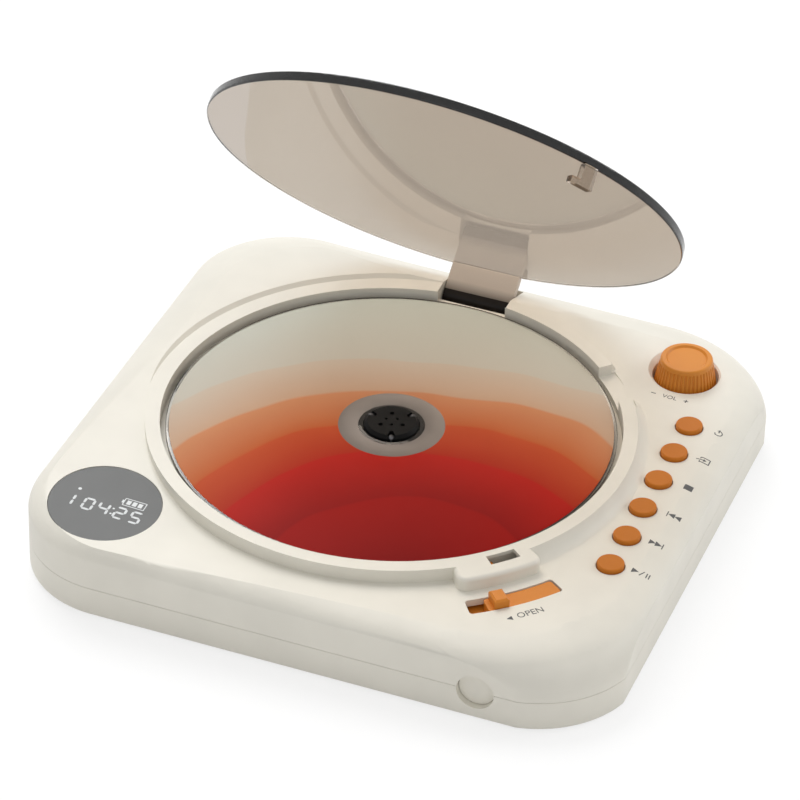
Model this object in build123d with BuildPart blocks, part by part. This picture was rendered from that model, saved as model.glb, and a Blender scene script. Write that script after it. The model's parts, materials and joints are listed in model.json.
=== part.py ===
from math import cos, degrees, hypot, pi, radians, sin, sqrt, tan
import os

from build123d import *

# A flat disc player that lies on a table or hangs on a wall.
# Millimetres. The disc turns about the Z axis, z = 0 is the back face, +Z is the face with
# the disc, -Y is the front edge and +X is the side with the buttons. The lid stands open.

os.makedirs("parts", exist_ok=True)

# disc
disc_r = 60.0
disc_t = 1.2
disc_bore_r = 7.5
disc_top_z = 23.0

# flat sides of the case, measured from the disc axis
left_x = -79.0
right_x = 86.6
front_y = -79.2
back_y = 79.3
corner_r = 27.0
seam_right_r = 29.0
belly_front_r = 33.0
belly_back_r = 31.0
front_right_r = 40.0
back_right_r = 34.0
bulge_x = 1.4
bulge_y = 0.5
belly_rise = 4.4
wall = 2.2
skin = 2.0
floor_t = 2.0
seam_z = 9.0
seam_gap = 0.12
crease_z = 17.7
edge_r = 1.6

# rolled top edge: rise above the crease, then how far each corner is drawn in, in the order
# front left, back left, front right, back right
roll_steps = [
    (0.0, 0.0, 0.0, 0.0, 0.0),
    (1.6, 0.5, 0.6, 2.0, 1.6),
    (2.9, 1.3, 1.6, 5.5, 4.2),
    (4.0, 2.4, 3.0, 10.0, 8.0),
    (5.6, 4.6, 5.6, 15.0, 13.0),
    (7.2, 7.8, 9.0, 20.0, 18.0),
    (9.0, 12.0, 14.0, 25.0, 23.0),
]
left_tighten = 0.2
right_tighten = 0.3

# top face: level beside the buttons, humped at the back left
face_z = 21.1
hump_z = 25.9
hump_start = -28.0
hump_end = 64.0

# disc well, its raised rim and the lid seat
well_gap = 1.5
deck_top_z = 19.8
deck_t = 1.5
rim_z = 25.0
rim_w = 3.9
flank_w = 3.2
flank_start_deg = -38.0
flank_end_deg = 33.0
notch_start_deg = 31.5
notch_end_deg = 45.5
notch_z = 21.8
notch_corner_r = 1.2
notch_split_deg = 1.5
fin_reach = 3.0
fin_top_reach = 0.3
fin_len_deg = 5.0
fin_lean_deg = 0.9

# lid
lid_over = 0.4
lid_t = 2.5
lid_gap = 0.1
lid_edge_r = 0.5
seat_gap = 0.4
seat_flare = 1.4
lid_open_deg = 52.2
hinge_behind = 7.7
hinge_z = 16.7
arm_w = 19.7
arm_t = 2.5
arm_inset = 2.9
arm_bend_r = 3.0
barrel_r = 3.5
barrel_gap = 0.2
pin_r = 1.25
pin_end = 2.2
run_gap = 0.05
bay_gap = 0.25
bay_wall = 3.0
bay_z = 11.0
bay_skin = 1.2
bay_behind = 5.2
bay_lip_t = 0.8
bay_lip_z = 21.5
arm_notch_w = 7.6
spring_gap = 0.25
spring_wire_r = 0.35
spring_coil_r = 2.3
spring_turns = 6

# latch, with angles about the disc axis, 0 on +X
hook_deg = -42.2
hook_inset = 0.55
hook_t = 2.3
hook_w = 4.0
hook_len = 6.0
toe_h = 1.6
toe_len = 2.65
hook_hole_w = 3.5
hook_hole_start_deg = -46.65
hook_hole_end_deg = -39.5
hook_hole_lip = 1.0
hook_room_in = 0.8
hook_room_out = 2.0
hook_room_deg = 1.2
latch_travel_deg = 2.2
latch_gap = 0.15
latch_bite_deg = 1.0
tip_gap_w = 0.3
tip_h = 2.3
tip_post_deg = 2.1
tip_post_gap_deg = 0.62
slot_inset = 3.5
slot_w = 5.5
slot_start_deg = -54.5
slot_end_deg = -35.8
slot_corner_r = 0.9
slot_gap = 0.25
slide_t = 1.5
slide_under = 0.2
slide_margin = 2.0
slide_drop = 0.3
thumb_start_deg = -49.7
thumb_end_deg = -46.9
thumb_h = 2.4
thumb_edge = 0.5
block_start_deg = -55.0
block_end_deg = -35.7
block_w = 5.6
block_edge_r = 2.6
block_top_r = 1.2
keeper_deg = -44.5
keeper_half_deg = 2.0
keeper_post_r = 1.9
keeper_screw_len = 4.0
plate_start_deg = -54.2
plate_end_deg = -33.6
land_start_deg = -50.8
land_end_deg = -36.1
latch_spring_len = 9.0
latch_spring_r = 1.3

# buttons
key_beside = 4.0
key_y = 0.0
key_pitch = 13.0
key_r = 3.6
key_gap = 0.25
key_proud = 1.2
key_edge_r = 0.5
key_flange_w = 1.1
key_flange_t = 1.2
key_travel = 0.5
key_clear = 0.2
key_board_w = 14.0
key_board_out = 3.0
key_post_out = 6.9
key_board_h = 80.0
board_t = 1.6
switch_w = 5.0
switch_h = 2.8
plunger_r = 1.2
plunger_h = 0.4

# volume knob
knob_x = 64.2
knob_y = 55.3
knob_r = 8.7
knob_top_r = 7.0
knob_recess_r = 9.05
knob_recess_flare = 0.8
knob_h = 8.65
knob_z = 18.2
knob_under = 0.1
knob_flutes = 44
flute_r = 0.32
flute_len = 7.4
knob_edge_r = 0.65
knob_face_r = 5.7
knob_face_sink = 0.5
knob_face_taper = 45
knob_travel = 0.5
knob_cap_t = 1.6
bushing_rise = 0.8
encoder_floor = 1.2
cup_t = 1.5
knob_hollow_r = 4.4
shaft_grip = 4.2
encoder_r = 3.4
encoder_w = 12.0
encoder_h = 7.5
encoder_shaft_r = 2.0
volume_board_w = 24.0
volume_board_back = 9.5
volume_board_z = 4.4

# round display in the front left corner
display_x = -56.2
display_y = -60.0
display_r = 14.8
display_t = 1.4
display_gap = 0.15
display_board_w = 24.0
display_board_h = 16.0
display_ledge = 1.6
display_sink = 0.05
module_w = 21.0
module_h = 13.0
module_t = 2.4

# jack behind the round recess in the front
jack_x = 53.4
jack_z = 8.6
jack_recess_r = 5.0
jack_recess_depth = 3.0
jack_wall = 1.2
cover_t = 1.2
cover_gap = 0.15
cover_peg_len = 3.5
jack_bore_r = 1.8
jack_w = 6.6
jack_len = 11.0

# disc drive
table_r = 14.6
table_t = 1.4
table_gap = 0.8
pad_w = 2.6
pad_t = 0.3
pad_edge = 0.4
table_boss_r = 3.0
hub_gap = 0.15
hub_h = 2.5
hub_bevel = 0.8
hub_hole_r = 0.45
hub_hole_ring_r = 1.7
hub_port_r = 0.65
hub_port_ring_r = 3.4
ball_r = 0.95
ball_count = 3
ball_start_deg = 50.0
ball_rise = 0.2
ball_notch_r = 0.65
ball_notch_ring_r = 5.3
shaft_r = 1.0
shaft_in_hub = 1.4
shaft_rise = 0.6
shaft_hole_r = 4.0
shaft_bottom_z = 5.8
motor_r = 12.0
motor_bottom_z = 6.2
chassis_z = 13.4
chassis_t = 1.5
chassis_left = -72.0
chassis_right = 22.0
chassis_front = -47.0
chassis_back = 31.0
chassis_corner_r = 4.0
damper_r = 4.6
damper_neck_r = 3.1
damper_flange_t = 1.1
damper_places = [(-67.0, -42.0), (-67.0, 25.6), (15.0, 25.6), (15.0, -42.0)]
post_r = 2.0
post_foot_r = 3.4

# laser sled on two rods
sled_x = -24.0
sled_travel = 33.0
sled_stop = 1.5
sled_w = 21.0
sled_bottom_z = 6.6
sled_top_z = 12.4
rod_r = 1.5
rod_y = 17.0
rod_z = 9.4
rod_cover = 3.0
rod_block_w = 5.6
rod_block_t = 3.0
lens_r = 2.4
lens_gap = 0.6
deck_slot_w = 5.0
lens_tower_r = 4.2
lens_clear = 1.4

# sled gears
gear_module = 0.8
tooth_share = 0.42
tooth_angle = 20.0
tooth_up = 0.85
tooth_down = 1.15
pinion_teeth = 12
wheel_teeth = 30
motor_teeth = 10
rack_y = -23.0
rack_z = 7.8
rack_t = 2.6
rack_over = 3.5
gear_x = -33.0
wheel_z = 3.4
wheel_t = 1.6
train_deg = -45.0
axle_r = 0.9
axle_cap_t = 0.6
axle_cap_gap = 0.2
feed_motor_r = 6.5
feed_shaft_in = 4.0

# other things inside
screw_r = 1.1
screw_head_r = 2.2
screw_head_h = 1.4
screw_gap = 0.05
boss_r = 3.4
case_screw_len = 9.0
case_screw_seat_z = 3.0
small_screw_len = 3.0
speaker_places = [(34.0, 45.0), (-36.0, 46.0)]
speaker_r = 17.5
speaker_flange_t = 2.0
speaker_cone_h = 3.0
speaker_magnet_r = 9.0
speaker_magnet_h = 4.0
speaker_taper = 45
speaker_gap = 0.2
grille_hole_r = 0.8
grille_pitch = 3.6
grille_rings = 4
main_board_x = 22.0
main_board_y = -74.0
main_board_w = 44.0
main_board_h = 44.0
main_board_z = 4.0
board_screw_gap = 4.0
standoff_r = 2.2
standoff_inset = 3.2
chips = [
    (0.3, 0.75, 9.0, 9.0, 1.2),
    (0.62, 0.78, 6.0, 5.0, 1.4),
    (0.2, 0.4, 5.0, 7.0, 1.2),
    (0.5, 0.45, 4.0, 4.0, 3.0),
]
battery_x = -33.0
battery_y = -75.0
battery_w = 48.0
battery_h = 27.0
battery_t = 7.6
battery_gap = 0.2
keyhole_x = 36.0
keyhole_r = 4.2
keyhole_slot_r = 2.1
keyhole_len = 9.0
keyhole_depth = 2.6
keyhole_wall = 1.2
foot_r = 5.0
foot_t = 1.6
foot_out = 0.6
foot_gap = 0.1
foot_places = [(-58.0, -57.0), (-60.0, 56.0), (64.0, 58.0), (60.0, -54.0)]
usb_x = -40.0
usb_z = 5.4
usb_w = 9.0
usb_h = 3.2
usb_len = 7.5
usb_gap = 0.15
usb_sink = 0.6
usb_tongue_t = 0.7
usb_board_w = 14.0
usb_board_h = 7.5

# sizes that follow from the ones above
deck_z = deck_top_z - deck_t
well_r = disc_r + well_gap
rim_r = well_r + rim_w
flank_r = rim_r + flank_w
lid_r = rim_r + lid_over
lid_z = rim_z + lid_gap
arm_front_y = lid_r - arm_inset
hinge_y = arm_front_y + hinge_behind
bay_back_y = hinge_y + bay_behind
hook_r = lid_r - hook_inset
block_out_r = rim_r + block_w
slot_in_r = block_out_r + slot_inset
slot_out_r = slot_in_r + slot_w
key_x = flank_r + key_beside
seat_r = lid_r + seat_gap
disc_bottom_z = disc_top_z - disc_t
table_z = disc_bottom_z - table_t
hub_r = disc_bore_r - hub_gap
chassis_top_z = chassis_z + chassis_t
table_hole_r = table_r + table_gap
skin_z = face_z - skin
key_top_z = face_z + key_proud
key_flange_z = skin_z - key_clear - key_flange_t
key_board_z = key_flange_z - key_travel - key_clear - plunger_h - switch_h - board_t
cup_floor_z = knob_z - knob_travel - knob_under
arm_foot_z = hinge_z - barrel_r - barrel_gap
bay_half = arm_w / 2 + bay_gap
boss_half = bay_half + bay_wall
slide_z = deck_z - slide_under - slide_t
toe_top_z = lid_z - hook_len + toe_h
tip_z = toe_top_z + latch_gap
mid_y = (front_y + back_y) / 2
mid_x = (left_x + right_x) / 2
far = 3 * right_x
sled_end_x = sled_x - sled_travel
slide_out_r = slot_out_r + slide_margin
hole_in_r = hook_r - hook_hole_w / 2
hole_out_r = hook_r + hook_hole_w / 2
tip_in_r = hole_in_r + tip_gap_w
tip_out_r = hole_out_r - tip_gap_w
post_end_deg = hook_deg - degrees((hook_w / 2 + toe_len) / hook_r) - tip_post_gap_deg
post_start_deg = post_end_deg - tip_post_deg
pocket_start_deg = post_start_deg - latch_travel_deg - tip_post_gap_deg
standoff_places = [
    (main_board_x + x, main_board_y + y)
    for x in (standoff_inset, main_board_w - standoff_inset)
    for y in (standoff_inset, main_board_h - standoff_inset)
]
case_screw_places = [
    (-38.0, -72.0),
    (-66.0, 66.0),
    (50.0, 70.0),
    (main_board_x + main_board_w + board_screw_gap, -56.0),
]
volume_post_places = [
    (knob_x - volume_board_back + standoff_inset, knob_y + side * (volume_board_w / 2 - standoff_inset))
    for side in (-1, 1)
]


def corner_arc(x, y, r, start):
    return CenterArc((x, y), r, start, 90)


def case_outline(z, corners, inset=0.0):
    """Outline at one height. A corner is (x, y, radius): front left, front right, back right, back left."""
    (flx, fly, flr), (frx, fry, frr), (brx, bry, brr), (blx, bly, blr) = [
        (x - inset if x > 0 else x + inset, y - inset if y > 0 else y + inset, r - inset)
        for x, y, r in corners
    ]
    with BuildSketch(Plane.XY.offset(z)) as section:
        with BuildLine():
            Line((flx + flr, fly), (frx - frr, fry))
            corner_arc(frx - frr, fry + frr, frr, 270)
            Line((frx, fry + frr), (brx, bry - brr))
            corner_arc(brx - brr, bry - brr, brr, 0)
            Line((brx - brr, bry), (blx + blr, bly))
            corner_arc(blx + blr, bly - blr, blr, 90)
            Line((blx, bly - blr), (flx, fly + flr))
            corner_arc(flx + flr, fly + flr, flr, 180)
        make_face()
    return section.sketch


def side_corners(bulge, front_r, back_r):
    """Corners of the upright sides; bulge is how far the right corners stand past the flats, 0 to 1."""
    return [
        (left_x, front_y, corner_r),
        (right_x + bulge * bulge_x, front_y - bulge * bulge_y, front_r),
        (right_x + bulge * bulge_x, back_y + bulge * bulge_y, back_r),
        (left_x, back_y, corner_r),
    ]


def roll_corners(front_left, back_left, front_right, back_right):
    """Corners of the rolled top edge, each drawn in by its own amount."""
    return [
        (left_x + front_left, front_y + front_left, corner_r - left_tighten * front_left),
        (right_x - front_right, front_y + front_right, front_right_r - right_tighten * front_right),
        (right_x - back_right, back_y - back_right, back_right_r - right_tighten * back_right),
        (left_x + back_left, back_y - back_left, corner_r - left_tighten * back_left),
    ]


side_sections = [
    (seam_z, side_corners(1, seam_right_r, seam_right_r)),
    (seam_z + belly_rise, side_corners(1, belly_front_r, belly_back_r)),
    (crease_z, side_corners(0, front_right_r, back_right_r)),
]
roll_sections = [(crease_z + rise, roll_corners(*drawn_in)) for rise, *drawn_in in roll_steps]

# the top face is a gentle S swept along the diagonal from front left to back right
diagonal = Plane(origin=(0, 0, 0), x_dir=(-1, 1, 0), z_dir=(1, 1, 0))


def above_face(drop):
    """Everything above the top face, lowered by drop."""
    with BuildPart() as upper:
        with BuildSketch(diagonal):
            with BuildLine():
                Line((-far, face_z - drop), (hump_start, face_z - drop))
                Spline(
                    (hump_start, face_z - drop),
                    (hump_end, hump_z - drop),
                    tangents=[(1, 0), (1, 0)],
                    tangent_scalars=(1, 1),
                )
                Line((hump_end, hump_z - drop), (far, hump_z - drop))
                Line((far, hump_z - drop), (far, far))
                Line((far, far), (-far, far))
                Line((-far, far), (-far, face_z - drop))
            make_face()
        extrude(amount=far, both=True)
    return upper.part


def face_at(x, y):
    """Height and steepness of the top face, the same smooth S as above_face."""
    span = hump_end - hump_start
    t = min(max(((y - x) / sqrt(2) - hump_start) / span, 0.0), 1.0)
    rise = hump_z - face_z
    return face_z + rise * t * t * (3 - 2 * t), rise * 6 * t * (1 - t) / span


def on_circle(radius, angle):
    return radius * cos(radians(angle)), radius * sin(radians(angle))


def arc_deg(length, radius):
    """Angle that an arc of this length takes at this radius."""
    return degrees(length / radius)


def sector(inner, outer, start_deg, end_deg, plane, corner_r=0.0):
    """Flat piece of a ring about the disc axis."""
    with BuildSketch(plane) as piece:
        with BuildLine():
            Line(on_circle(inner, start_deg), on_circle(outer, start_deg))
            CenterArc((0, 0), outer, start_deg, end_deg - start_deg)
            Line(on_circle(outer, end_deg), on_circle(inner, end_deg))
            CenterArc((0, 0), inner, start_deg, end_deg - start_deg)
        make_face()
        if corner_r > 0:
            fillet(piece.vertices(), corner_r)
    return piece.sketch


def level(z):
    return Plane.XY.offset(z)


def bar_between(start, end, radius):
    """Straight round bar."""
    run = Vector(*end) - Vector(*start)
    with BuildPart() as bar:
        with BuildSketch(Plane(origin=start, z_dir=run)):
            Circle(radius)
        extrude(amount=run.length)
    return bar.part


def drilled_board(x, y, z, width, depth, holes, hole_r):
    """Circuit board with its low corner at x, y, z."""
    with BuildPart() as board:
        with BuildSketch(level(z)):
            with Locations((x + width / 2, y + depth / 2)):
                Rectangle(width, depth)
            with Locations(*holes):
                Circle(hole_r, mode=Mode.SUBTRACT)
        extrude(amount=board_t)
    return board.part


def screws(places, seat_z, shank, up):
    """Screws whose heads bear at seat_z, with the shank going up or down from there."""
    with BuildPart() as group:
        with BuildSketch(level(seat_z)):
            with Locations(*places):
                Circle(screw_head_r)
        extrude(amount=-screw_head_h if up else screw_head_h)
        with BuildSketch(level(seat_z)):
            with Locations(*places):
                Circle(screw_r)
        extrude(amount=shank if up else -shank)
        with BuildSketch(level(seat_z - screw_head_h if up else seat_z + screw_head_h)):
            with Locations(*places):
                Rectangle(screw_head_r, screw_head_h / 3)
                Rectangle(screw_head_h / 3, screw_head_r)
        extrude(amount=screw_head_h / 2 if up else -screw_head_h / 2, mode=Mode.SUBTRACT)
    return group.part


def gear_outline(teeth, first_deg):
    """Gear face about its own centre with one tooth at first_deg."""
    pitch_r = gear_module * teeth / 2
    tip_r = pitch_r + tooth_up * gear_module
    root_r = pitch_r - tooth_down * gear_module
    half = tooth_share * 180 / teeth
    lean = degrees(tan(radians(tooth_angle)) / pitch_r)
    root_half = half + (pitch_r - root_r) * lean
    tip_half = half - (tip_r - pitch_r) * lean
    with BuildSketch() as tooth:
        with BuildLine():
            Polyline(
                (0, 0),
                on_circle(root_r, -root_half),
                on_circle(tip_r, -tip_half),
                on_circle(tip_r, tip_half),
                on_circle(root_r, root_half),
                (0, 0),
            )
        make_face()
    with BuildSketch() as face:
        Circle(root_r)
        with PolarLocations(0, teeth, start_angle=first_deg):
            add(tooth.sketch)
    return face.sketch


def coil(center, axis, radius, length, turns, wire_r):
    """Coil spring that winds from center along axis."""
    start = Plane(origin=center, z_dir=axis)
    path = start.location * Helix(length / turns, length, radius)
    with BuildPart() as spring:
        with BuildSketch(Plane(origin=path @ 0, z_dir=path % 0)):
            Circle(wire_r)
        sweep(path=path, is_frenet=True)
    return spring.part


def finish(piece, name):
    piece.label = name
    export_step(piece, f"parts/{name}.step")


key_names = ["key_play", "key_next", "key_previous", "key_stop", "key_source", "key_power"]
key_places = [(key_x, key_y + (i - (len(key_names) - 1) / 2) * key_pitch) for i in range(len(key_names))]
key_post_places = [(key_x + key_post_out, key_y + side * key_pitch) for side in (-2, 0, 2)]
keeper_x, keeper_y = on_circle(slide_out_r + keeper_post_r + slot_gap, keeper_deg)

# the lid, its arm and its hook are drawn in their closed places on planes that stand open
lid_up = Vector(0, sin(radians(lid_open_deg)), cos(radians(lid_open_deg)))
lid_back = Vector(0, cos(radians(lid_open_deg)), -sin(radians(lid_open_deg)))
lid_foot = Vector(0, hinge_y, hinge_z) - lid_back * hinge_y - lid_up * hinge_z


def lid_level(z):
    return Plane(origin=lid_foot + lid_up * z, x_dir=(1, 0, 0), z_dir=lid_up)


def lid_side(x):
    return Plane(origin=lid_foot + Vector(x, 0, 0), x_dir=lid_back, z_dir=(1, 0, 0))


knob_face_z = face_at(knob_x, knob_y)[0]
display_z, display_slope = face_at(display_x, display_y)
display_up = Vector(display_slope / sqrt(2), -display_slope / sqrt(2), 1)
display_plane = Plane(origin=(display_x, display_y, display_z), x_dir=(1, 0, 0), z_dir=display_up)
jack_plane = Plane(origin=(jack_x, front_y, jack_z), x_dir=(1, 0, 0), z_dir=(0, -1, 0))

# ------------------------------------------------------------- case, outside and inside
with BuildPart() as blank:
    loft([case_outline(max(z, seam_z + seam_gap), c) for z, c in side_sections])
    loft([case_outline(z, c) for z, c in roll_sections])
    with Locations((mid_x, mid_y, far / 2)):
        Box(right_x - left_x, back_y - front_y, far, mode=Mode.INTERSECT)
    add(above_face(0), mode=Mode.SUBTRACT)

with BuildPart() as cavity:
    loft([case_outline(z - (0 if z == seam_z else skin), c, wall) for z, c in side_sections])
    loft([case_outline(z - skin, c, wall) for z, c in roll_sections])
    with Locations((mid_x, mid_y, far / 2)):
        Box(right_x - left_x - 2 * wall, back_y - front_y - 2 * wall, far, mode=Mode.INTERSECT)
    add(above_face(skin), mode=Mode.SUBTRACT)

# cup, bay, posts and collars inside the top shell, each run up into the skin
bay_y = well_r + bay_lip_t - bay_skin
with BuildPart() as fittings:
    with BuildSketch(level(cup_floor_z - cup_t)):
        with Locations((knob_x, knob_y)):
            Circle(knob_recess_r + knob_recess_flare + cup_t)
    extrude(amount=far)
    with BuildSketch(level(bay_z - bay_skin)):
        with Locations((0, (bay_y + back_y) / 2)):
            Rectangle(2 * boss_half, back_y - bay_y)
    extrude(amount=far)
    with BuildSketch(level(seam_z)):
        with Locations(*case_screw_places):
            Circle(boss_r)
    extrude(amount=far)
    with BuildSketch(level(key_board_z + board_t)):
        with Locations(*key_post_places):
            Circle(post_r)
    extrude(amount=far)
    with BuildSketch(level(slide_z - slide_under)):
        with Locations((keeper_x, keeper_y)):
            Circle(keeper_post_r)
    extrude(amount=far)
    with BuildSketch(display_plane.offset(-display_t - display_ledge)):
        Circle(display_r + display_ledge)
    extrude(amount=display_ledge + display_t / 2)
    with BuildSketch(jack_plane):
        Circle(jack_recess_r + jack_wall)
    extrude(amount=-jack_recess_depth - jack_wall)
    add(blank.part, mode=Mode.INTERSECT)

with BuildPart() as latch_block:
    extrude(
        sector(rim_r - rim_w / 2, block_out_r, block_start_deg, block_end_deg, level(skin_z)),
        amount=rim_z - skin_z,
    )
    ends = edges().filter_by(Axis.Z).sort_by(lambda e: hypot(e.center().X, e.center().Y))[-2:]
    fillet(ends, block_edge_r)
    outer = faces().filter_by(GeomType.CYLINDER).sort_by(lambda f: hypot(f.center().X, f.center().Y))[-1]
    fillet(outer.edges().sort_by(Axis.Z)[-1:], block_top_r)

# rounded end of the rim at the notch
notch_shoulder = sector(well_r, rim_r, 0, notch_start_deg, Plane.XY, notch_corner_r)


def fin_section(z, reach):
    """Outline at one height of the fin that runs out from the rim behind the notch."""
    with BuildSketch(level(z)) as section:
        with BuildLine():
            Polyline(
                on_circle(rim_r - rim_w / 2, notch_end_deg),
                on_circle(rim_r + reach, notch_end_deg + fin_lean_deg),
                on_circle(rim_r - rim_w / 2, notch_end_deg + fin_len_deg),
                close=True,
            )
        make_face()
    return section.sketch


# ------------------------------------------------------------- top shell
with BuildPart() as shell_top:
    add(blank.part)
    add(cavity.part, mode=Mode.SUBTRACT)
    add(fittings.part)
    # deck and rim in one, with the hollow flank of the rim beside the buttons
    with BuildSketch(level(deck_z)):
        Circle(rim_r)
    extrude(amount=rim_z - deck_z)
    flank_x = on_circle(1, flank_start_deg)
    with BuildSketch(Plane(origin=(0, 0, 0), x_dir=(*flank_x, 0), z_dir=(flank_x[1], -flank_x[0], 0))):
        with BuildLine():
            Line((rim_r - rim_w / 2, rim_z), (rim_r, rim_z))
            ThreePointArc((rim_r, rim_z), (rim_r + 0.3 * flank_w, (rim_z + face_z) / 2), (flank_r, face_z))
            Line((flank_r, face_z), (flank_r, face_z - skin / 2))
            Line((flank_r, face_z - skin / 2), (rim_r - rim_w / 2, face_z - skin / 2))
            Line((rim_r - rim_w / 2, face_z - skin / 2), (rim_r - rim_w / 2, rim_z))
        make_face()
    revolve(axis=Axis.Z, revolution_arc=flank_end_deg - flank_start_deg)
    add(latch_block.part)
    # well and lid recess
    with BuildSketch(level(deck_top_z)):
        Circle(well_r)
    extrude(amount=far, mode=Mode.SUBTRACT)
    with BuildSketch(Plane.XZ):
        with BuildLine():
            Polyline(
                (0, rim_z),
                (seat_r, rim_z),
                (seat_r + seat_flare * (far - rim_z), far),
                (0, far),
                close=True,
            )
        make_face()
    revolve(axis=Axis.Z, mode=Mode.SUBTRACT)
    # holes in the deck for the table and the laser
    with BuildSketch(level(deck_z)):
        Circle(table_hole_r)
        with Locations(((sled_x + sled_end_x) / 2, 0)):
            Rectangle(sled_travel + 2 * (lens_r + lens_gap), 2 * (lens_r + lens_gap) + deck_slot_w)
    extrude(amount=deck_t, mode=Mode.SUBTRACT)
    # finger notch in the rim, with rounded corners at one end and a fin at the other
    with BuildSketch(level(notch_z)):
        add(sector(well_r - 1, rim_r + 1, notch_start_deg - notch_split_deg, notch_end_deg, Plane.XY))
        add(notch_shoulder, mode=Mode.SUBTRACT)
    extrude(amount=rim_z, mode=Mode.SUBTRACT)
    loft([fin_section(face_z - skin / 2, fin_reach), fin_section(rim_z, fin_top_reach)])
    # bay of the hinge, open to the top
    with Locations((0, (bay_y + bay_skin + bay_back_y) / 2, bay_z + far / 2)):
        Box(2 * bay_half, bay_back_y - bay_y - bay_skin, far, mode=Mode.SUBTRACT)
    with Locations((0, well_r, bay_lip_z + far / 2)):
        Box(2 * bay_half, 2 * bay_lip_t, far, mode=Mode.SUBTRACT)
    add(
        bar_between((-boss_half, hinge_y, hinge_z), (boss_half, hinge_y, hinge_z), pin_r + run_gap),
        mode=Mode.SUBTRACT,
    )
    # holes of the buttons, the knob, the display and the latch
    with BuildSketch(level(skin_z - 1)):
        with Locations(*key_places):
            Circle(key_r + key_gap)
    extrude(amount=far, mode=Mode.SUBTRACT)
    with BuildSketch(level(cup_floor_z)):
        with Locations((knob_x, knob_y)):
            Circle(knob_recess_r)
    extrude(amount=far, mode=Mode.SUBTRACT)
    with BuildSketch(level(knob_face_z - knob_recess_flare)):
        with Locations((knob_x, knob_y)):
            Circle(knob_recess_r)
    extrude(amount=2 * knob_recess_flare, taper=-45, mode=Mode.SUBTRACT)
    with BuildSketch(level(cup_floor_z - cup_t)):
        with Locations((knob_x, knob_y)):
            Circle(encoder_r + key_gap)
    extrude(amount=cup_t, mode=Mode.SUBTRACT)
    with BuildSketch(display_plane.offset(-display_t - display_sink)):
        Circle(display_r + display_gap)
    extrude(amount=far / 4, mode=Mode.SUBTRACT)
    with BuildSketch(display_plane.offset(-display_t - display_ledge)):
        Circle(display_r - display_ledge)
    extrude(amount=far / 4, mode=Mode.SUBTRACT)
    extrude(
        sector(slot_in_r, slot_out_r, slot_start_deg, slot_end_deg, level(skin_z - 1), slot_corner_r),
        amount=far,
        mode=Mode.SUBTRACT,
    )
    extrude(
        sector(hole_in_r, hole_out_r, hook_hole_start_deg, hook_hole_end_deg, level(deck_z)),
        amount=far,
        mode=Mode.SUBTRACT,
    )
    extrude(
        sector(hole_in_r, hole_out_r, pocket_start_deg, hook_hole_start_deg + 0.5, level(deck_z)),
        amount=tip_z + tip_h + latch_gap - deck_z,
        mode=Mode.SUBTRACT,
    )
    # wider room for the hook below the lip of its hole
    extrude(
        sector(
            hole_in_r - hook_room_in,
            hole_out_r + hook_room_out,
            hook_hole_start_deg - hook_room_deg,
            hook_hole_end_deg + hook_room_deg,
            level(deck_z),
        ),
        amount=rim_z - hook_hole_lip - deck_z,
        mode=Mode.SUBTRACT,
    )
    # screw holes and the round recess of the jack
    with BuildSketch(level(seam_z)):
        with Locations(*case_screw_places):
            Circle(screw_r + screw_gap)
    extrude(amount=case_screw_seat_z + case_screw_len + screw_gap - seam_z, mode=Mode.SUBTRACT)
    with BuildSketch(level(key_board_z + board_t)):
        with Locations(*key_post_places):
            Circle(screw_r + screw_gap)
    extrude(amount=small_screw_len, mode=Mode.SUBTRACT)
    with BuildSketch(level(slide_z - slide_under)):
        with Locations((keeper_x, keeper_y)):
            Circle(screw_r + screw_gap)
    extrude(amount=keeper_screw_len, mode=Mode.SUBTRACT)
    with BuildSketch(jack_plane):
        Circle(jack_recess_r)
    extrude(amount=-jack_recess_depth, mode=Mode.SUBTRACT)
    with BuildSketch(jack_plane):
        Circle(jack_bore_r)
    extrude(amount=-jack_recess_depth - jack_wall, mode=Mode.SUBTRACT)
finish(shell_top.part, "shell_top")

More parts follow.
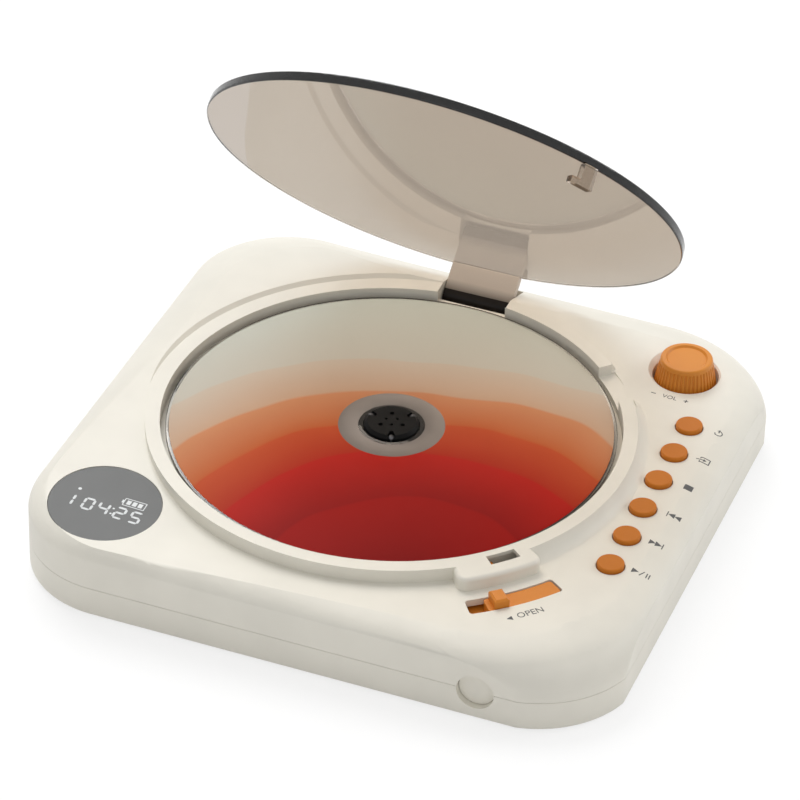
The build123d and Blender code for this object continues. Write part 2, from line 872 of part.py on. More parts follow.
# ------------------------------------------------------------- bottom shell
with BuildPart() as shell_bottom:
    with BuildSketch():
        add(case_outline(0, side_sections[0][1]))
        with Locations((mid_x, mid_y)):
            Rectangle(right_x - left_x, back_y - front_y, mode=Mode.INTERSECT)
    extrude(amount=seam_z)
    fillet(edges().group_by(Axis.Z)[0], edge_r)
    with BuildSketch(level(floor_t)):
        add(case_outline(0, side_sections[0][1], wall))
        with Locations((mid_x, mid_y)):
            Rectangle(right_x - left_x - 2 * wall, back_y - front_y - 2 * wall, mode=Mode.INTERSECT)
    extrude(amount=far, mode=Mode.SUBTRACT)
    # collar of the jack, keyhole covers, bosses and posts
    with BuildSketch(jack_plane):
        Circle(jack_recess_r + jack_wall)
    extrude(amount=-jack_recess_depth - jack_wall)
    with BuildSketch(level(seam_z)):
        with Locations((jack_x, front_y)):
            Rectangle(4 * jack_recess_r, 4 * jack_recess_r)
    extrude(amount=2 * jack_recess_r, mode=Mode.SUBTRACT)
    with BuildSketch(level(floor_t)):
        with Locations(*case_screw_places):
            Circle(boss_r)
    extrude(amount=seam_z - floor_t)
    with BuildSketch(level(floor_t)):
        with Locations(*standoff_places):
            Circle(standoff_r)
    extrude(amount=main_board_z - floor_t)
    with BuildSketch(level(floor_t)):
        with Locations(*volume_post_places):
            Circle(standoff_r)
    extrude(amount=volume_board_z - floor_t)
    with BuildSketch(level(floor_t)):
        with Locations(*damper_places):
            Circle(post_foot_r)
    extrude(amount=chassis_z - damper_flange_t - floor_t)
    with BuildSketch(level(floor_t)):
        with Locations(*damper_places):
            Circle(post_r)
    extrude(amount=chassis_top_z + damper_flange_t - floor_t)
    with BuildSketch(level(floor_t)):
        with Locations((-keyhole_x, keyhole_len / 2), (keyhole_x, keyhole_len / 2)):
            Rectangle(2 * (keyhole_r + keyhole_wall), keyhole_len + 2 * (keyhole_r + keyhole_wall))
    extrude(amount=keyhole_depth + keyhole_wall)
    # keyholes: a round entry, a narrow slot above it and room for the screw head behind both
    with BuildSketch():
        with Locations((-keyhole_x, 0), (keyhole_x, 0)):
            Circle(keyhole_r)
        with Locations((-keyhole_x, keyhole_len / 2), (keyhole_x, keyhole_len / 2)):
            Rectangle(2 * keyhole_slot_r, keyhole_len)
        with Locations((-keyhole_x, keyhole_len), (keyhole_x, keyhole_len)):
            Circle(keyhole_slot_r)
    extrude(amount=floor_t, mode=Mode.SUBTRACT)
    with BuildSketch(level(floor_t)):
        with Locations((-keyhole_x, keyhole_len / 2), (keyhole_x, keyhole_len / 2)):
            Rectangle(2 * keyhole_r, keyhole_len + 2 * keyhole_r)
    extrude(amount=keyhole_depth, mode=Mode.SUBTRACT)
    # screw holes, from below for the case and from above for the boards and the chassis
    with BuildSketch():
        with Locations(*case_screw_places):
            Circle(screw_r + screw_gap)
    extrude(amount=seam_z, mode=Mode.SUBTRACT)
    with BuildSketch():
        with Locations(*case_screw_places):
            Circle(screw_head_r + screw_gap)
    extrude(amount=case_screw_seat_z, mode=Mode.SUBTRACT)
    with BuildSketch(level(floor_t)):
        with Locations(*standoff_places, *volume_post_places):
            Circle(screw_r + screw_gap)
    extrude(amount=main_board_z, mode=Mode.SUBTRACT)
    with BuildSketch(level(chassis_top_z + damper_flange_t)):
        with Locations(*damper_places):
            Circle(screw_r + screw_gap)
    extrude(amount=-small_screw_len - screw_gap, mode=Mode.SUBTRACT)
    # pockets of the feet, speaker grilles, the charging inlet and the jack
    with BuildSketch():
        with Locations(*foot_places):
            Circle(foot_r + foot_gap)
    extrude(amount=foot_t - foot_out, mode=Mode.SUBTRACT)
    with BuildSketch():
        with Locations(*speaker_places):
            Circle(grille_hole_r)
            for ring in range(1, grille_rings):
                with PolarLocations(ring * grille_pitch, 6 * ring):
                    Circle(grille_hole_r)
    extrude(amount=floor_t, mode=Mode.SUBTRACT)
    with BuildSketch(Plane(origin=(usb_x, back_y, usb_z), x_dir=(-1, 0, 0), z_dir=(0, 1, 0))):
        SlotOverall(usb_w + 2 * usb_gap, usb_h + 2 * usb_gap)
    extrude(amount=-wall, mode=Mode.SUBTRACT)
    with BuildSketch(jack_plane):
        Circle(jack_recess_r)
    extrude(amount=-jack_recess_depth, mode=Mode.SUBTRACT)
    with BuildSketch(jack_plane):
        Circle(jack_bore_r)
    extrude(amount=-jack_recess_depth - jack_wall, mode=Mode.SUBTRACT)
finish(shell_bottom.part, "shell_bottom")

# ------------------------------------------------------------- trim on the case
with BuildPart() as display_lens:
    with BuildSketch(display_plane.offset(-display_t - display_sink)):
        Circle(display_r)
    extrude(amount=display_t)
finish(display_lens.part, "display_lens")

with BuildPart() as display_module:
    with BuildSketch(display_plane.offset(-display_t - display_sink - module_t)):
        Rectangle(module_w, module_h)
    extrude(amount=module_t - display_gap)
finish(display_module.part, "display_module")

with BuildPart() as display_board:
    with BuildSketch(display_plane.offset(-display_t - display_sink - module_t - board_t)):
        Rectangle(display_board_w, display_board_h)
    extrude(amount=board_t)
finish(display_board.part, "display_board")

with BuildPart() as jack_cover:
    with BuildSketch(jack_plane.offset(-jack_recess_depth)):
        Circle(jack_recess_r - cover_gap)
    extrude(amount=cover_t)
    with BuildSketch(jack_plane.offset(-jack_recess_depth)):
        Circle(jack_bore_r - cover_gap)
    extrude(amount=-cover_peg_len)
finish(jack_cover.part, "jack_cover")

with BuildPart() as feet:
    with BuildSketch(level(-foot_out)):
        with Locations(*foot_places):
            Circle(foot_r)
    extrude(amount=foot_t)
finish(feet.part, "feet")

finish(screws(case_screw_places, case_screw_seat_z, case_screw_len, True), "case_screws")

# ------------------------------------------------------------- lid
with BuildPart() as lid_panel:
    with BuildSketch(lid_level(lid_z)):
        Circle(lid_r)
    extrude(amount=lid_t)
    fillet(edges(), lid_edge_r)
finish(lid_panel.part, "lid_panel")

spring_room_r = spring_coil_r + spring_wire_r + spring_gap
with BuildPart() as hinge_arm:
    with BuildSketch(lid_side(-arm_w / 2)):
        with BuildLine():
            Line((arm_front_y, lid_z), (arm_front_y, arm_foot_z + arm_bend_r))
            CenterArc((arm_front_y + arm_bend_r, arm_foot_z + arm_bend_r), arm_bend_r, 180, 90)
            Line((arm_front_y + arm_bend_r, arm_foot_z), (hinge_y, arm_foot_z))
            Line((hinge_y, arm_foot_z), (hinge_y, arm_foot_z + arm_t))
            Line((hinge_y, arm_foot_z + arm_t), (arm_front_y + arm_t, arm_foot_z + arm_t))
            Line((arm_front_y + arm_t, arm_foot_z + arm_t), (arm_front_y + arm_t, lid_z))
            Line((arm_front_y + arm_t, lid_z), (arm_front_y, lid_z))
        make_face()
        with Locations((hinge_y, hinge_z)):
            Circle(barrel_r)
    extrude(amount=arm_w)
    # room for the spring inside the barrel, open behind
    with BuildSketch(lid_side(-arm_notch_w / 2)):
        with Locations((hinge_y, hinge_z)):
            Circle(spring_room_r)
        with Locations((hinge_y + far / 2, hinge_z)):
            Rectangle(far, 2 * spring_room_r)
    extrude(amount=arm_notch_w, mode=Mode.SUBTRACT)
    add(
        bar_between((-arm_w, hinge_y, hinge_z), (arm_w, hinge_y, hinge_z), pin_r + run_gap),
        mode=Mode.SUBTRACT,
    )
finish(hinge_arm.part, "hinge_arm")

half_hook = arc_deg(hook_w / 2, hook_r)
toe_deg = hook_deg - half_hook - arc_deg(toe_len, hook_r)
with BuildPart() as lid_hook:
    extrude(
        sector(
            hook_r - hook_t / 2,
            hook_r + hook_t / 2,
            hook_deg - half_hook,
            hook_deg + half_hook,
            lid_level(lid_z - hook_len),
        ),
        amount=hook_len,
    )
    extrude(
        sector(
            hook_r - hook_t / 2,
            hook_r + hook_t / 2,
            toe_deg,
            hook_deg,
            lid_level(lid_z - hook_len),
        ),
        amount=toe_h,
    )
finish(lid_hook.part, "lid_hook")

pin_half = bay_half + pin_end
finish(bar_between((-pin_half, hinge_y, hinge_z), (pin_half, hinge_y, hinge_z), pin_r), "hinge_pin")

spring_len = arm_notch_w - 2 * (spring_wire_r + spring_gap)
spring_start = (-spring_len / 2, hinge_y, hinge_z)
hinge_spring = coil(spring_start, (1, 0, 0), spring_coil_r, spring_len, spring_turns, spring_wire_r)
finish(hinge_spring, "hinge_spring")

# ------------------------------------------------------------- latch
land_in_r = slot_in_r + slot_gap
land_out_r = slot_out_r - slot_gap
with BuildPart() as thumb_grip:
    extrude(
        sector(land_in_r, land_out_r, thumb_start_deg, thumb_end_deg, level(slide_z)),
        amount=face_z + thumb_h - slide_z,
    )
    chamfer(edges().group_by(Axis.Z)[-1], thumb_edge)

with BuildPart() as latch_slider:
    # plate under the skin, land in the slot and the thumb grip on it
    extrude(
        sector(slot_in_r - slide_margin, slide_out_r, plate_start_deg, plate_end_deg, level(slide_z)),
        amount=slide_t,
    )
    extrude(
        sector(tip_in_r, slot_in_r, post_start_deg, post_end_deg, level(slide_z)),
        amount=slide_t,
    )
    extrude(
        sector(land_in_r, land_out_r, land_start_deg, land_end_deg, level(slide_z), slot_corner_r),
        amount=face_z - slide_drop - slide_z,
    )
    add(thumb_grip.part)
    # post that rises beside the hook, with the tip that holds the toe of the hook down
    extrude(
        sector(tip_in_r, tip_out_r, post_start_deg, post_end_deg, level(slide_z)),
        amount=tip_z + tip_h - slide_z,
    )
    extrude(
        sector(tip_in_r, tip_out_r, post_start_deg, toe_deg + latch_bite_deg, level(tip_z)),
        amount=tip_h,
    )
finish(latch_slider.part, "latch_slider")

keeper_start_deg = keeper_deg - keeper_half_deg
keeper_end_deg = keeper_deg + keeper_half_deg
with BuildPart() as latch_keeper:
    with BuildSketch(level(slide_z - slide_under - board_t)):
        add(sector(slot_in_r, slide_out_r, keeper_start_deg, keeper_end_deg, Plane.XY))
        with Locations((keeper_x, keeper_y)):
            Circle(boss_r)
            Circle(screw_r + screw_gap, mode=Mode.SUBTRACT)
    extrude(amount=board_t)
finish(latch_keeper.part, "latch_keeper")

# spring that pushes the slider back, pressed between it and a stop on the skin
latch_tail = on_circle((slot_in_r + slot_out_r) / 2, plate_start_deg)
spring_dir = Vector(*on_circle(1, plate_start_deg - 90), 0)
spring_foot = Vector(*latch_tail, slide_z + slide_t / 2) + spring_dir * spring_wire_r
latch_spring = coil(spring_foot, spring_dir, latch_spring_r, latch_spring_len, spring_turns, spring_wire_r)
finish(latch_spring, "latch_spring")

# ------------------------------------------------------------- buttons
for name, place in zip(key_names, key_places):
    with BuildPart() as key:
        with BuildSketch(level(key_flange_z)):
            with Locations(place):
                Circle(key_r + key_flange_w)
        extrude(amount=key_flange_t)
        with BuildSketch(level(key_flange_z)):
            with Locations(place):
                Circle(key_r)
        extrude(amount=key_top_z - key_flange_z)
        fillet(edges().sort_by(Axis.Z)[-1:], key_edge_r)
    finish(key.part, name)

with BuildPart() as key_board:
    with BuildSketch(level(key_board_z)):
        with Locations((key_x + key_board_out, key_y)):
            Rectangle(key_board_w, key_board_h)
        with Locations(*key_post_places):
            Circle(screw_r + screw_gap, mode=Mode.SUBTRACT)
    extrude(amount=board_t)
finish(key_board.part, "key_board")
finish(screws(key_post_places, key_board_z, small_screw_len, True), "key_screws")

with BuildPart() as key_switches:
    with BuildSketch(level(key_board_z + board_t)):
        with Locations(*key_places):
            Rectangle(switch_w, switch_w)
    extrude(amount=switch_h)
    with BuildSketch(level(key_board_z + board_t + switch_h)):
        with Locations(*key_places):
            Circle(plunger_r)
    extrude(amount=plunger_h)
finish(key_switches.part, "key_switches")

# ------------------------------------------------------------- volume knob and its encoder
knob_top_z = knob_z + knob_h
shaft_top_z = knob_top_z - knob_cap_t
encoder_z = volume_board_z + board_t
flute_top_r = knob_r - (knob_r - knob_top_r) * flute_len / knob_h
flute = bar_between((knob_r, 0, knob_z), (flute_top_r, 0, knob_z + flute_len), flute_r)
with BuildPart() as volume_knob:
    with BuildSketch(Plane.XZ):
        with BuildLine():
            Polyline(
                (0, knob_z),
                (knob_r, knob_z),
                (knob_top_r, knob_top_z),
                (0, knob_top_z),
                close=True,
            )
        make_face()
    revolve(axis=Axis.Z)
    fillet(edges().sort_by(Axis.Z)[-1:], knob_edge_r)
    with PolarLocations(0, knob_flutes):
        add(flute, mode=Mode.SUBTRACT)
    with BuildSketch(level(knob_z)):
        Circle(knob_hollow_r)
    extrude(amount=shaft_top_z - shaft_grip - knob_z, mode=Mode.SUBTRACT)
    with BuildSketch(level(knob_z)):
        Circle(encoder_shaft_r + screw_gap)
    extrude(amount=shaft_top_z - knob_z, mode=Mode.SUBTRACT)
    with BuildSketch(level(knob_top_z)):
        Circle(knob_face_r)
    extrude(amount=-knob_face_sink, taper=knob_face_taper, mode=Mode.SUBTRACT)
finish(Pos(knob_x, knob_y, 0) * volume_knob.part, "volume_knob")

with BuildPart() as encoder_body:
    with BuildSketch(level(encoder_z)):
        with Locations((knob_x, knob_y)):
            Rectangle(encoder_w, encoder_w)
    extrude(amount=encoder_h)
    with BuildSketch(level(encoder_z + encoder_h)):
        with Locations((knob_x, knob_y)):
            Circle(encoder_r)
    extrude(amount=knob_z + bushing_rise - encoder_z - encoder_h)
    with BuildSketch(level(encoder_z + encoder_floor)):
        with Locations((knob_x, knob_y)):
            Circle(encoder_shaft_r + run_gap)
    extrude(amount=far, mode=Mode.SUBTRACT)
finish(encoder_body.part, "encoder_body")

plunger_z = encoder_z + encoder_floor + knob_travel + run_gap
finish(
    bar_between((knob_x, knob_y, plunger_z), (knob_x, knob_y, plunger_z + board_t), encoder_shaft_r),
    "encoder_plunger",
)
finish(
    bar_between((knob_x, knob_y, plunger_z + board_t), (knob_x, knob_y, shaft_top_z), encoder_shaft_r),
    "encoder_shaft",
)
volume_board = drilled_board(
    knob_x - volume_board_back,
    knob_y - volume_board_w / 2,
    volume_board_z,
    volume_board_w,
    volume_board_w,
    volume_post_places,
    screw_r + screw_gap,
)
finish(volume_board, "volume_board")

# ------------------------------------------------------------- disc and its drive
with BuildPart() as disc:
    with BuildSketch(level(disc_bottom_z)):
        Circle(disc_r)
        Circle(disc_bore_r, mode=Mode.SUBTRACT)
    extrude(amount=disc_t)
finish(disc.part, "disc")

pad_out_r = table_r - pad_edge
with BuildPart() as turntable:
    with BuildSketch(level(table_z)):
        Circle(table_r)
    extrude(amount=table_t)
    with BuildSketch(level(disc_bottom_z - pad_t)):
        Circle(pad_out_r)
        Circle(pad_out_r - pad_w, mode=Mode.SUBTRACT)
    extrude(amount=pad_t, mode=Mode.SUBTRACT)
    with BuildSketch(level(chassis_top_z + shaft_rise)):
        Circle(table_boss_r)
    extrude(amount=table_z - chassis_top_z - shaft_rise)
    with BuildSketch(level(0)):
        Circle(shaft_r + screw_gap)
    extrude(amount=far, mode=Mode.SUBTRACT)
finish(turntable.part, "turntable")

with BuildPart() as turntable_pad:
    with BuildSketch(level(disc_bottom_z - pad_t)):
        Circle(pad_out_r)
        Circle(pad_out_r - pad_w, mode=Mode.SUBTRACT)
    extrude(amount=pad_t)
finish(turntable_pad.part, "turntable_pad")

ball_ring_r = hub_r - ball_r
ball_z = disc_top_z + ball_rise
hub_top_z = disc_bottom_z + hub_h
with BuildPart() as hub_cap:
    with BuildSketch(level(disc_bottom_z)):
        Circle(hub_r)
    extrude(amount=hub_h)
    chamfer(edges().sort_by(Axis.Z)[-1:], hub_bevel)
    # small holes in line with the balls, wider ones between them and a notch beside each ball
    with BuildSketch(level(hub_top_z)):
        with PolarLocations(hub_hole_ring_r, ball_count, start_angle=ball_start_deg):
            Circle(hub_hole_r)
        with PolarLocations(hub_port_ring_r, ball_count, start_angle=ball_start_deg + 180 / ball_count):
            Circle(hub_port_r)
        with PolarLocations(ball_notch_ring_r, ball_count, start_angle=ball_start_deg):
            Circle(ball_notch_r)
    extrude(amount=-hub_bevel, mode=Mode.SUBTRACT)
    with BuildSketch(level(disc_bottom_z)):
        Circle(shaft_r + screw_gap)
    extrude(amount=shaft_in_hub + screw_gap, mode=Mode.SUBTRACT)
    with BuildSketch(level(ball_z - ball_r - screw_gap)):
        with PolarLocations(ball_ring_r, ball_count, start_angle=ball_start_deg):
            Circle(ball_r + screw_gap)
    extrude(amount=far, mode=Mode.SUBTRACT)
finish(hub_cap.part, "hub_cap")

with BuildPart() as chuck_balls:
    with Locations((0, 0, ball_z)):
        with PolarLocations(ball_ring_r, ball_count, start_angle=ball_start_deg):
            Sphere(ball_r)
finish(chuck_balls.part, "chuck_balls")

finish(bar_between((0, 0, shaft_bottom_z), (0, 0, disc_bottom_z + shaft_in_hub), shaft_r), "spindle_shaft")

with BuildPart() as spindle_motor:
    with BuildSketch(level(motor_bottom_z)):
        Circle(motor_r)
    extrude(amount=chassis_z - motor_bottom_z)
    fillet(edges().sort_by(Axis.Z)[:1], key_edge_r)
    with BuildSketch(level(0)):
        Circle(shaft_r + run_gap)
    extrude(amount=far, mode=Mode.SUBTRACT)
finish(spindle_motor.part, "spindle_motor")

# ------------------------------------------------------------- chassis with the laser sled
rod_end_x = sled_x + sled_w / 2 + sled_stop + rod_block_t
rod_blocks = [chassis_left + rod_block_t / 2, rod_end_x - rod_block_t / 2]
pinion_r = gear_module * pinion_teeth / 2
wheel_r = gear_module * wheel_teeth / 2
motor_gear_r = gear_module * motor_teeth / 2
gear_y = rack_y - pinion_r
train_x, train_y = on_circle(wheel_r + motor_gear_r, train_deg)
feed_x, feed_y = gear_x + train_x, gear_y + train_y
pickup_slot_w = sled_travel + 2 * (lens_tower_r + lens_gap)


def rod_pair(start_x, end_x, radius):
    """Round bars along both guide rods."""
    with BuildPart() as pair:
        for y in (-rod_y, rod_y):
            add(bar_between((start_x, y, rod_z), (end_x, y, rod_z), radius))
    return pair.part


with BuildPart() as traverse_chassis:
    with BuildSketch(level(chassis_z)):
        with Locations(((chassis_left + chassis_right) / 2, (chassis_front + chassis_back) / 2)):
            RectangleRounded(chassis_right - chassis_left, chassis_back - chassis_front, chassis_corner_r)
        with Locations(((sled_x + sled_end_x) / 2, 0)):
            Rectangle(pickup_slot_w, 2 * (lens_tower_r + lens_gap), mode=Mode.SUBTRACT)
        with Locations(*damper_places):
            Circle(damper_neck_r + screw_gap, mode=Mode.SUBTRACT)
        Circle(shaft_hole_r, mode=Mode.SUBTRACT)
    extrude(amount=chassis_t)
    with BuildSketch(level(rod_z - rod_block_w / 2)):
        with Locations(*[(x, side * rod_y) for x in rod_blocks for side in (-1, 1)]):
            Rectangle(rod_block_t, rod_block_w)
    extrude(amount=chassis_z - rod_z + rod_block_w / 2)
    add(rod_pair(chassis_left, rod_end_x, rod_r + screw_gap), mode=Mode.SUBTRACT)
finish(traverse_chassis.part, "traverse_chassis")
finish(rod_pair(chassis_left, rod_end_x, rod_r), "guide_rods")

sled_half = rod_y + rod_cover
with BuildPart() as pickup_sled:
    with BuildSketch(level(sled_bottom_z)):
        with Locations((sled_x, 0)):
            RectangleRounded(sled_w, 2 * sled_half, rod_r)
    extrude(amount=sled_top_z - sled_bottom_z)
    with BuildSketch(level(sled_top_z)):
        with Locations((sled_x, 0)):
            Circle(lens_tower_r)
    extrude(amount=deck_z - lens_gap - sled_top_z)
    add(rod_pair(sled_x - sled_w, sled_x + sled_w, rod_r + run_gap), mode=Mode.SUBTRACT)
finish(pickup_sled.part, "pickup_sled")
lens_foot = (sled_x, 0, deck_z - lens_gap)
finish(bar_between(lens_foot, (sled_x, 0, disc_bottom_z - lens_clear), lens_r), "objective_lens")

rack_pitch = pi * gear_module
rack_root_y = rack_y + tooth_down * gear_module
rack_tip_y = rack_y - tooth_up * gear_module
rack_x0 = gear_x - rack_over
rack_x1 = gear_x + sled_travel + rack_over
rack_half = tooth_share * rack_pitch / 2
rack_lean = tan(radians(tooth_angle)) * gear_module
rack_count = int((rack_x1 - gear_x) / rack_pitch)
with BuildPart() as sled_rack:
    with BuildSketch(level(rack_z)):
        with BuildLine():
            Polyline(
                (rack_x0, rack_root_y),
                (rack_x1, rack_root_y),
                (rack_x1, -sled_half),
                (rack_x0, -sled_half),
                close=True,
            )
        make_face()
        with BuildLine():
            Polyline(
                (-rack_half - tooth_down * rack_lean, rack_root_y),
                (-rack_half + tooth_up * rack_lean, rack_tip_y),
                (rack_half - tooth_up * rack_lean, rack_tip_y),
                (rack_half + tooth_down * rack_lean, rack_root_y),
                close=True,
            )
        rack_tooth = make_face(mode=Mode.PRIVATE)
        with Locations(*[(gear_x + (k + 0.5) * rack_pitch, 0) for k in range(-1, rack_count)]):
            add(rack_tooth)
    extrude(amount=rack_t)
finish(sled_rack.part, "sled_rack")

with BuildPart() as feed_gear:
    with BuildSketch(level(wheel_z)):
        add(gear_outline(wheel_teeth, train_deg))
    extrude(amount=wheel_t)
    with BuildSketch(level(wheel_z)):
        Circle(pinion_r - tooth_down * gear_module)
    extrude(amount=rack_z - wheel_z)
    with BuildSketch(level(rack_z)):
        add(gear_outline(pinion_teeth, 90))
    extrude(amount=rack_t)
    with BuildSketch():
        Circle(axle_r + run_gap)
    extrude(amount=far, mode=Mode.SUBTRACT)
finish(Pos(gear_x, gear_y, 0) * feed_gear.part, "feed_gear")

axle_foot = (gear_x, gear_y, wheel_z - axle_cap_t - axle_cap_gap)
with BuildPart() as gear_axle:
    add(bar_between(axle_foot, (gear_x, gear_y, chassis_z), axle_r))
    add(bar_between(axle_foot, (gear_x, gear_y, wheel_z - axle_cap_gap), 2 * axle_r))
finish(gear_axle.part, "gear_axle")

with BuildPart() as motor_pinion:
    with BuildSketch(level(wheel_z)):
        add(gear_outline(motor_teeth, train_deg + 180 + 180 / motor_teeth))
        Circle(axle_r + screw_gap, mode=Mode.SUBTRACT)
    extrude(amount=wheel_t)
finish(Pos(feed_x, feed_y, 0) * motor_pinion.part, "motor_pinion")
feed_shaft_z = motor_bottom_z + feed_shaft_in
finish(bar_between((feed_x, feed_y, wheel_z), (feed_x, feed_y, feed_shaft_z), axle_r), "feed_motor_shaft")
with BuildPart() as feed_motor:
    with BuildSketch(level(motor_bottom_z)):
        with Locations((feed_x, feed_y)):
            Circle(feed_motor_r)
    extrude(amount=chassis_z - motor_bottom_z)
    with BuildSketch(level(motor_bottom_z)):
        with Locations((feed_x, feed_y)):
            Circle(axle_r + run_gap)
    extrude(amount=feed_shaft_in + lens_gap, mode=Mode.SUBTRACT)
finish(feed_motor.part, "feed_motor")

with BuildPart() as dampers:
    for low, high, radius in (
        (chassis_z - damper_flange_t, chassis_z, damper_r),
        (chassis_z, chassis_top_z, damper_neck_r),
        (chassis_top_z, chassis_top_z + damper_flange_t, damper_r),
    ):
        with BuildSketch(level(low)):
            with Locations(*damper_places):
                Circle(radius)
        extrude(amount=high - low)
    with BuildSketch(level(0)):
        with Locations(*damper_places):
            Circle(post_r + screw_gap)
    extrude(amount=far, mode=Mode.SUBTRACT)
finish(dampers.part, "dampers")
finish(screws(damper_places, chassis_top_z + damper_flange_t, small_screw_len, False), "damper_screws")

# ------------------------------------------------------------- boards, battery, speakers, sockets
main_board = drilled_board(
    main_board_x,
    main_board_y,
    main_board_z,
    main_board_w,
    main_board_h,
    standoff_places,
    screw_r + screw_gap,
)
finish(main_board, "main_board")
board_top_z = main_board_z + board_t
finish(screws(standoff_places, board_top_z, small_screw_len, False), "board_screws")
finish(screws(volume_post_places, volume_board_z + board_t, small_screw_len, False), "volume_screws")
with BuildPart() as board_chips:
    for x_share, y_share, width, depth, height in chips:
        with BuildSketch(level(board_top_z)):
            with Locations((main_board_x + x_share * main_board_w, main_board_y + y_share * main_board_h)):
                Rectangle(width, depth)
        extrude(amount=height)
finish(board_chips.part, "board_chips")

with BuildPart() as battery:
    with BuildSketch(level(floor_t + battery_gap)):
        with Locations((battery_x + battery_w / 2, battery_y + battery_h / 2)):
            RectangleRounded(battery_w, battery_h, edge_r)
    extrude(amount=battery_t)
finish(battery.part, "battery")

with BuildPart() as keeper_screw:
    add(screws([(keeper_x, keeper_y)], slide_z - slide_under - board_t, keeper_screw_len, True))
finish(keeper_screw.part, "keeper_screw")

for name, (x, y) in zip(("speaker_right", "speaker_left"), speaker_places):
    with BuildPart() as speaker:
        with BuildSketch(level(floor_t + speaker_gap)):
            with Locations((x, y)):
                Circle(speaker_r)
        extrude(amount=speaker_flange_t)
        with BuildSketch(level(floor_t + speaker_gap + speaker_flange_t)):
            with Locations((x, y)):
                Circle(speaker_r - speaker_flange_t)
        extrude(amount=speaker_cone_h, taper=speaker_taper)
        with BuildSketch(level(floor_t + speaker_gap + speaker_flange_t + speaker_cone_h)):
            with Locations((x, y)):
                Circle(speaker_magnet_r)
        extrude(amount=speaker_magnet_h)
    finish(speaker.part, name)

usb_mouth = Plane(origin=(usb_x, back_y - usb_sink, usb_z), x_dir=(-1, 0, 0), z_dir=(0, 1, 0))
with BuildPart() as usb_socket:
    with BuildSketch(usb_mouth):
        SlotOverall(usb_w, usb_h)
        SlotOverall(usb_w - usb_sink, usb_h - usb_sink, mode=Mode.SUBTRACT)
    extrude(amount=-usb_len)
    with BuildSketch(usb_mouth.offset(-usb_len)):
        SlotOverall(usb_w, usb_h)
    extrude(amount=usb_sink)
    with BuildSketch(usb_mouth.offset(-usb_len)):
        Rectangle(usb_w / 1.4, usb_tongue_t)
    extrude(amount=usb_len - usb_sink)
finish(usb_socket.part, "usb_socket")

usb_board = drilled_board(
    usb_x - usb_board_w / 2,
    back_y - wall - usb_board_h - usb_gap,
    usb_z - usb_h / 2 - board_t,
    usb_board_w,
    usb_board_h,
    [(usb_x, back_y - wall - usb_board_h / 2)],
    screw_r + screw_gap,
)
finish(usb_board, "usb_board")

with BuildPart() as audio_jack:
    with BuildSketch(jack_plane.offset(-jack_recess_depth - jack_wall - run_gap)):
        Rectangle(jack_w, 2 * (jack_z - board_top_z))
        Circle(jack_bore_r, mode=Mode.SUBTRACT)
    extrude(amount=-jack_len)
finish(audio_jack.part, "audio_jack")
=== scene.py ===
import json
import math

import bpy
from mathutils import Matrix, Vector


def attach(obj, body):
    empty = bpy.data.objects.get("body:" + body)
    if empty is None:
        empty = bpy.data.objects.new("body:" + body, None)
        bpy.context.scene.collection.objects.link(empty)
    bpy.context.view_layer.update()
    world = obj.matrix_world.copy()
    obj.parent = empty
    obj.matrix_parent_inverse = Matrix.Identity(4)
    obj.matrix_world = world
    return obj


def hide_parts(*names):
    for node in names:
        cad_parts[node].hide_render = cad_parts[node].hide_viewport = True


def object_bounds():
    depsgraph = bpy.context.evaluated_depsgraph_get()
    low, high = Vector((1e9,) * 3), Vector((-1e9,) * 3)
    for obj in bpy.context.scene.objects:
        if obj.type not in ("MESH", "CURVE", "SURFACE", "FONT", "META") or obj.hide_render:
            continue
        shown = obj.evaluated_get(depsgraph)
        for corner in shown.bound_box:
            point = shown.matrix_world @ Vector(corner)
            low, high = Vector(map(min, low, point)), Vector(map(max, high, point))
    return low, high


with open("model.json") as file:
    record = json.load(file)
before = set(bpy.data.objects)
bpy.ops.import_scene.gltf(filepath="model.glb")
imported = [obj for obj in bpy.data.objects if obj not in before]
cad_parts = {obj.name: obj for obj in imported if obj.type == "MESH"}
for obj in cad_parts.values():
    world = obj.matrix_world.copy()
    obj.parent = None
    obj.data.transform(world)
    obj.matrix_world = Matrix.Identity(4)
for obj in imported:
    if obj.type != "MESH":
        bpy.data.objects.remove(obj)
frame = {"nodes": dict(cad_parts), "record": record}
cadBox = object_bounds()
mm = 0.001
nodes = frame["nodes"]
bodies = frame["record"]["behaviour"]["bodies"]
bodyOf = {node: body for body, members in bodies.items() for node in members}
slotOf = {part["node"]: part["material_slot"] for part in frame["record"]["subparts"]}
keyNames = ["key_play", "key_next", "key_previous", "key_stop", "key_source", "key_power"]
weldCopy = 0.000002  # m; corners of a copied solid that are this close are one corner
weldOwn = 0.000001


cameraSet = {
    "azimuth": 20.104,
    "elevation": 35.757,
    "roll": 1.778,
    "distance": 1135.5,
    "target": (-1.994, 11.311, 23.0),  # mm, as is the distance
    "lens": 190.9,
    "sensor": 36,
    "near": 0.01,  # m
}


def addCamera():
    turn = Matrix.Rotation(math.radians(cameraSet["azimuth"]), 4, "Z")
    tip = Matrix.Rotation(math.radians(90 - cameraSet["elevation"]), 4, "X")
    roll = Matrix.Rotation(math.radians(cameraSet["roll"]), 4, "Z")
    bpy.ops.object.camera_add()
    camera = bpy.context.active_object
    camera.data.lens = cameraSet["lens"]
    camera.data.sensor_width = cameraSet["sensor"]
    camera.data.clip_start = cameraSet["near"]
    camera.matrix_world = (Matrix.Translation(Vector(cameraSet["target"]) * mm) @ turn @ tip @ roll
                           @ Matrix.Translation((0, 0, cameraSet["distance"] * mm)))
    bpy.context.scene.camera = camera


def grey(value):
    return value, value, value, 1


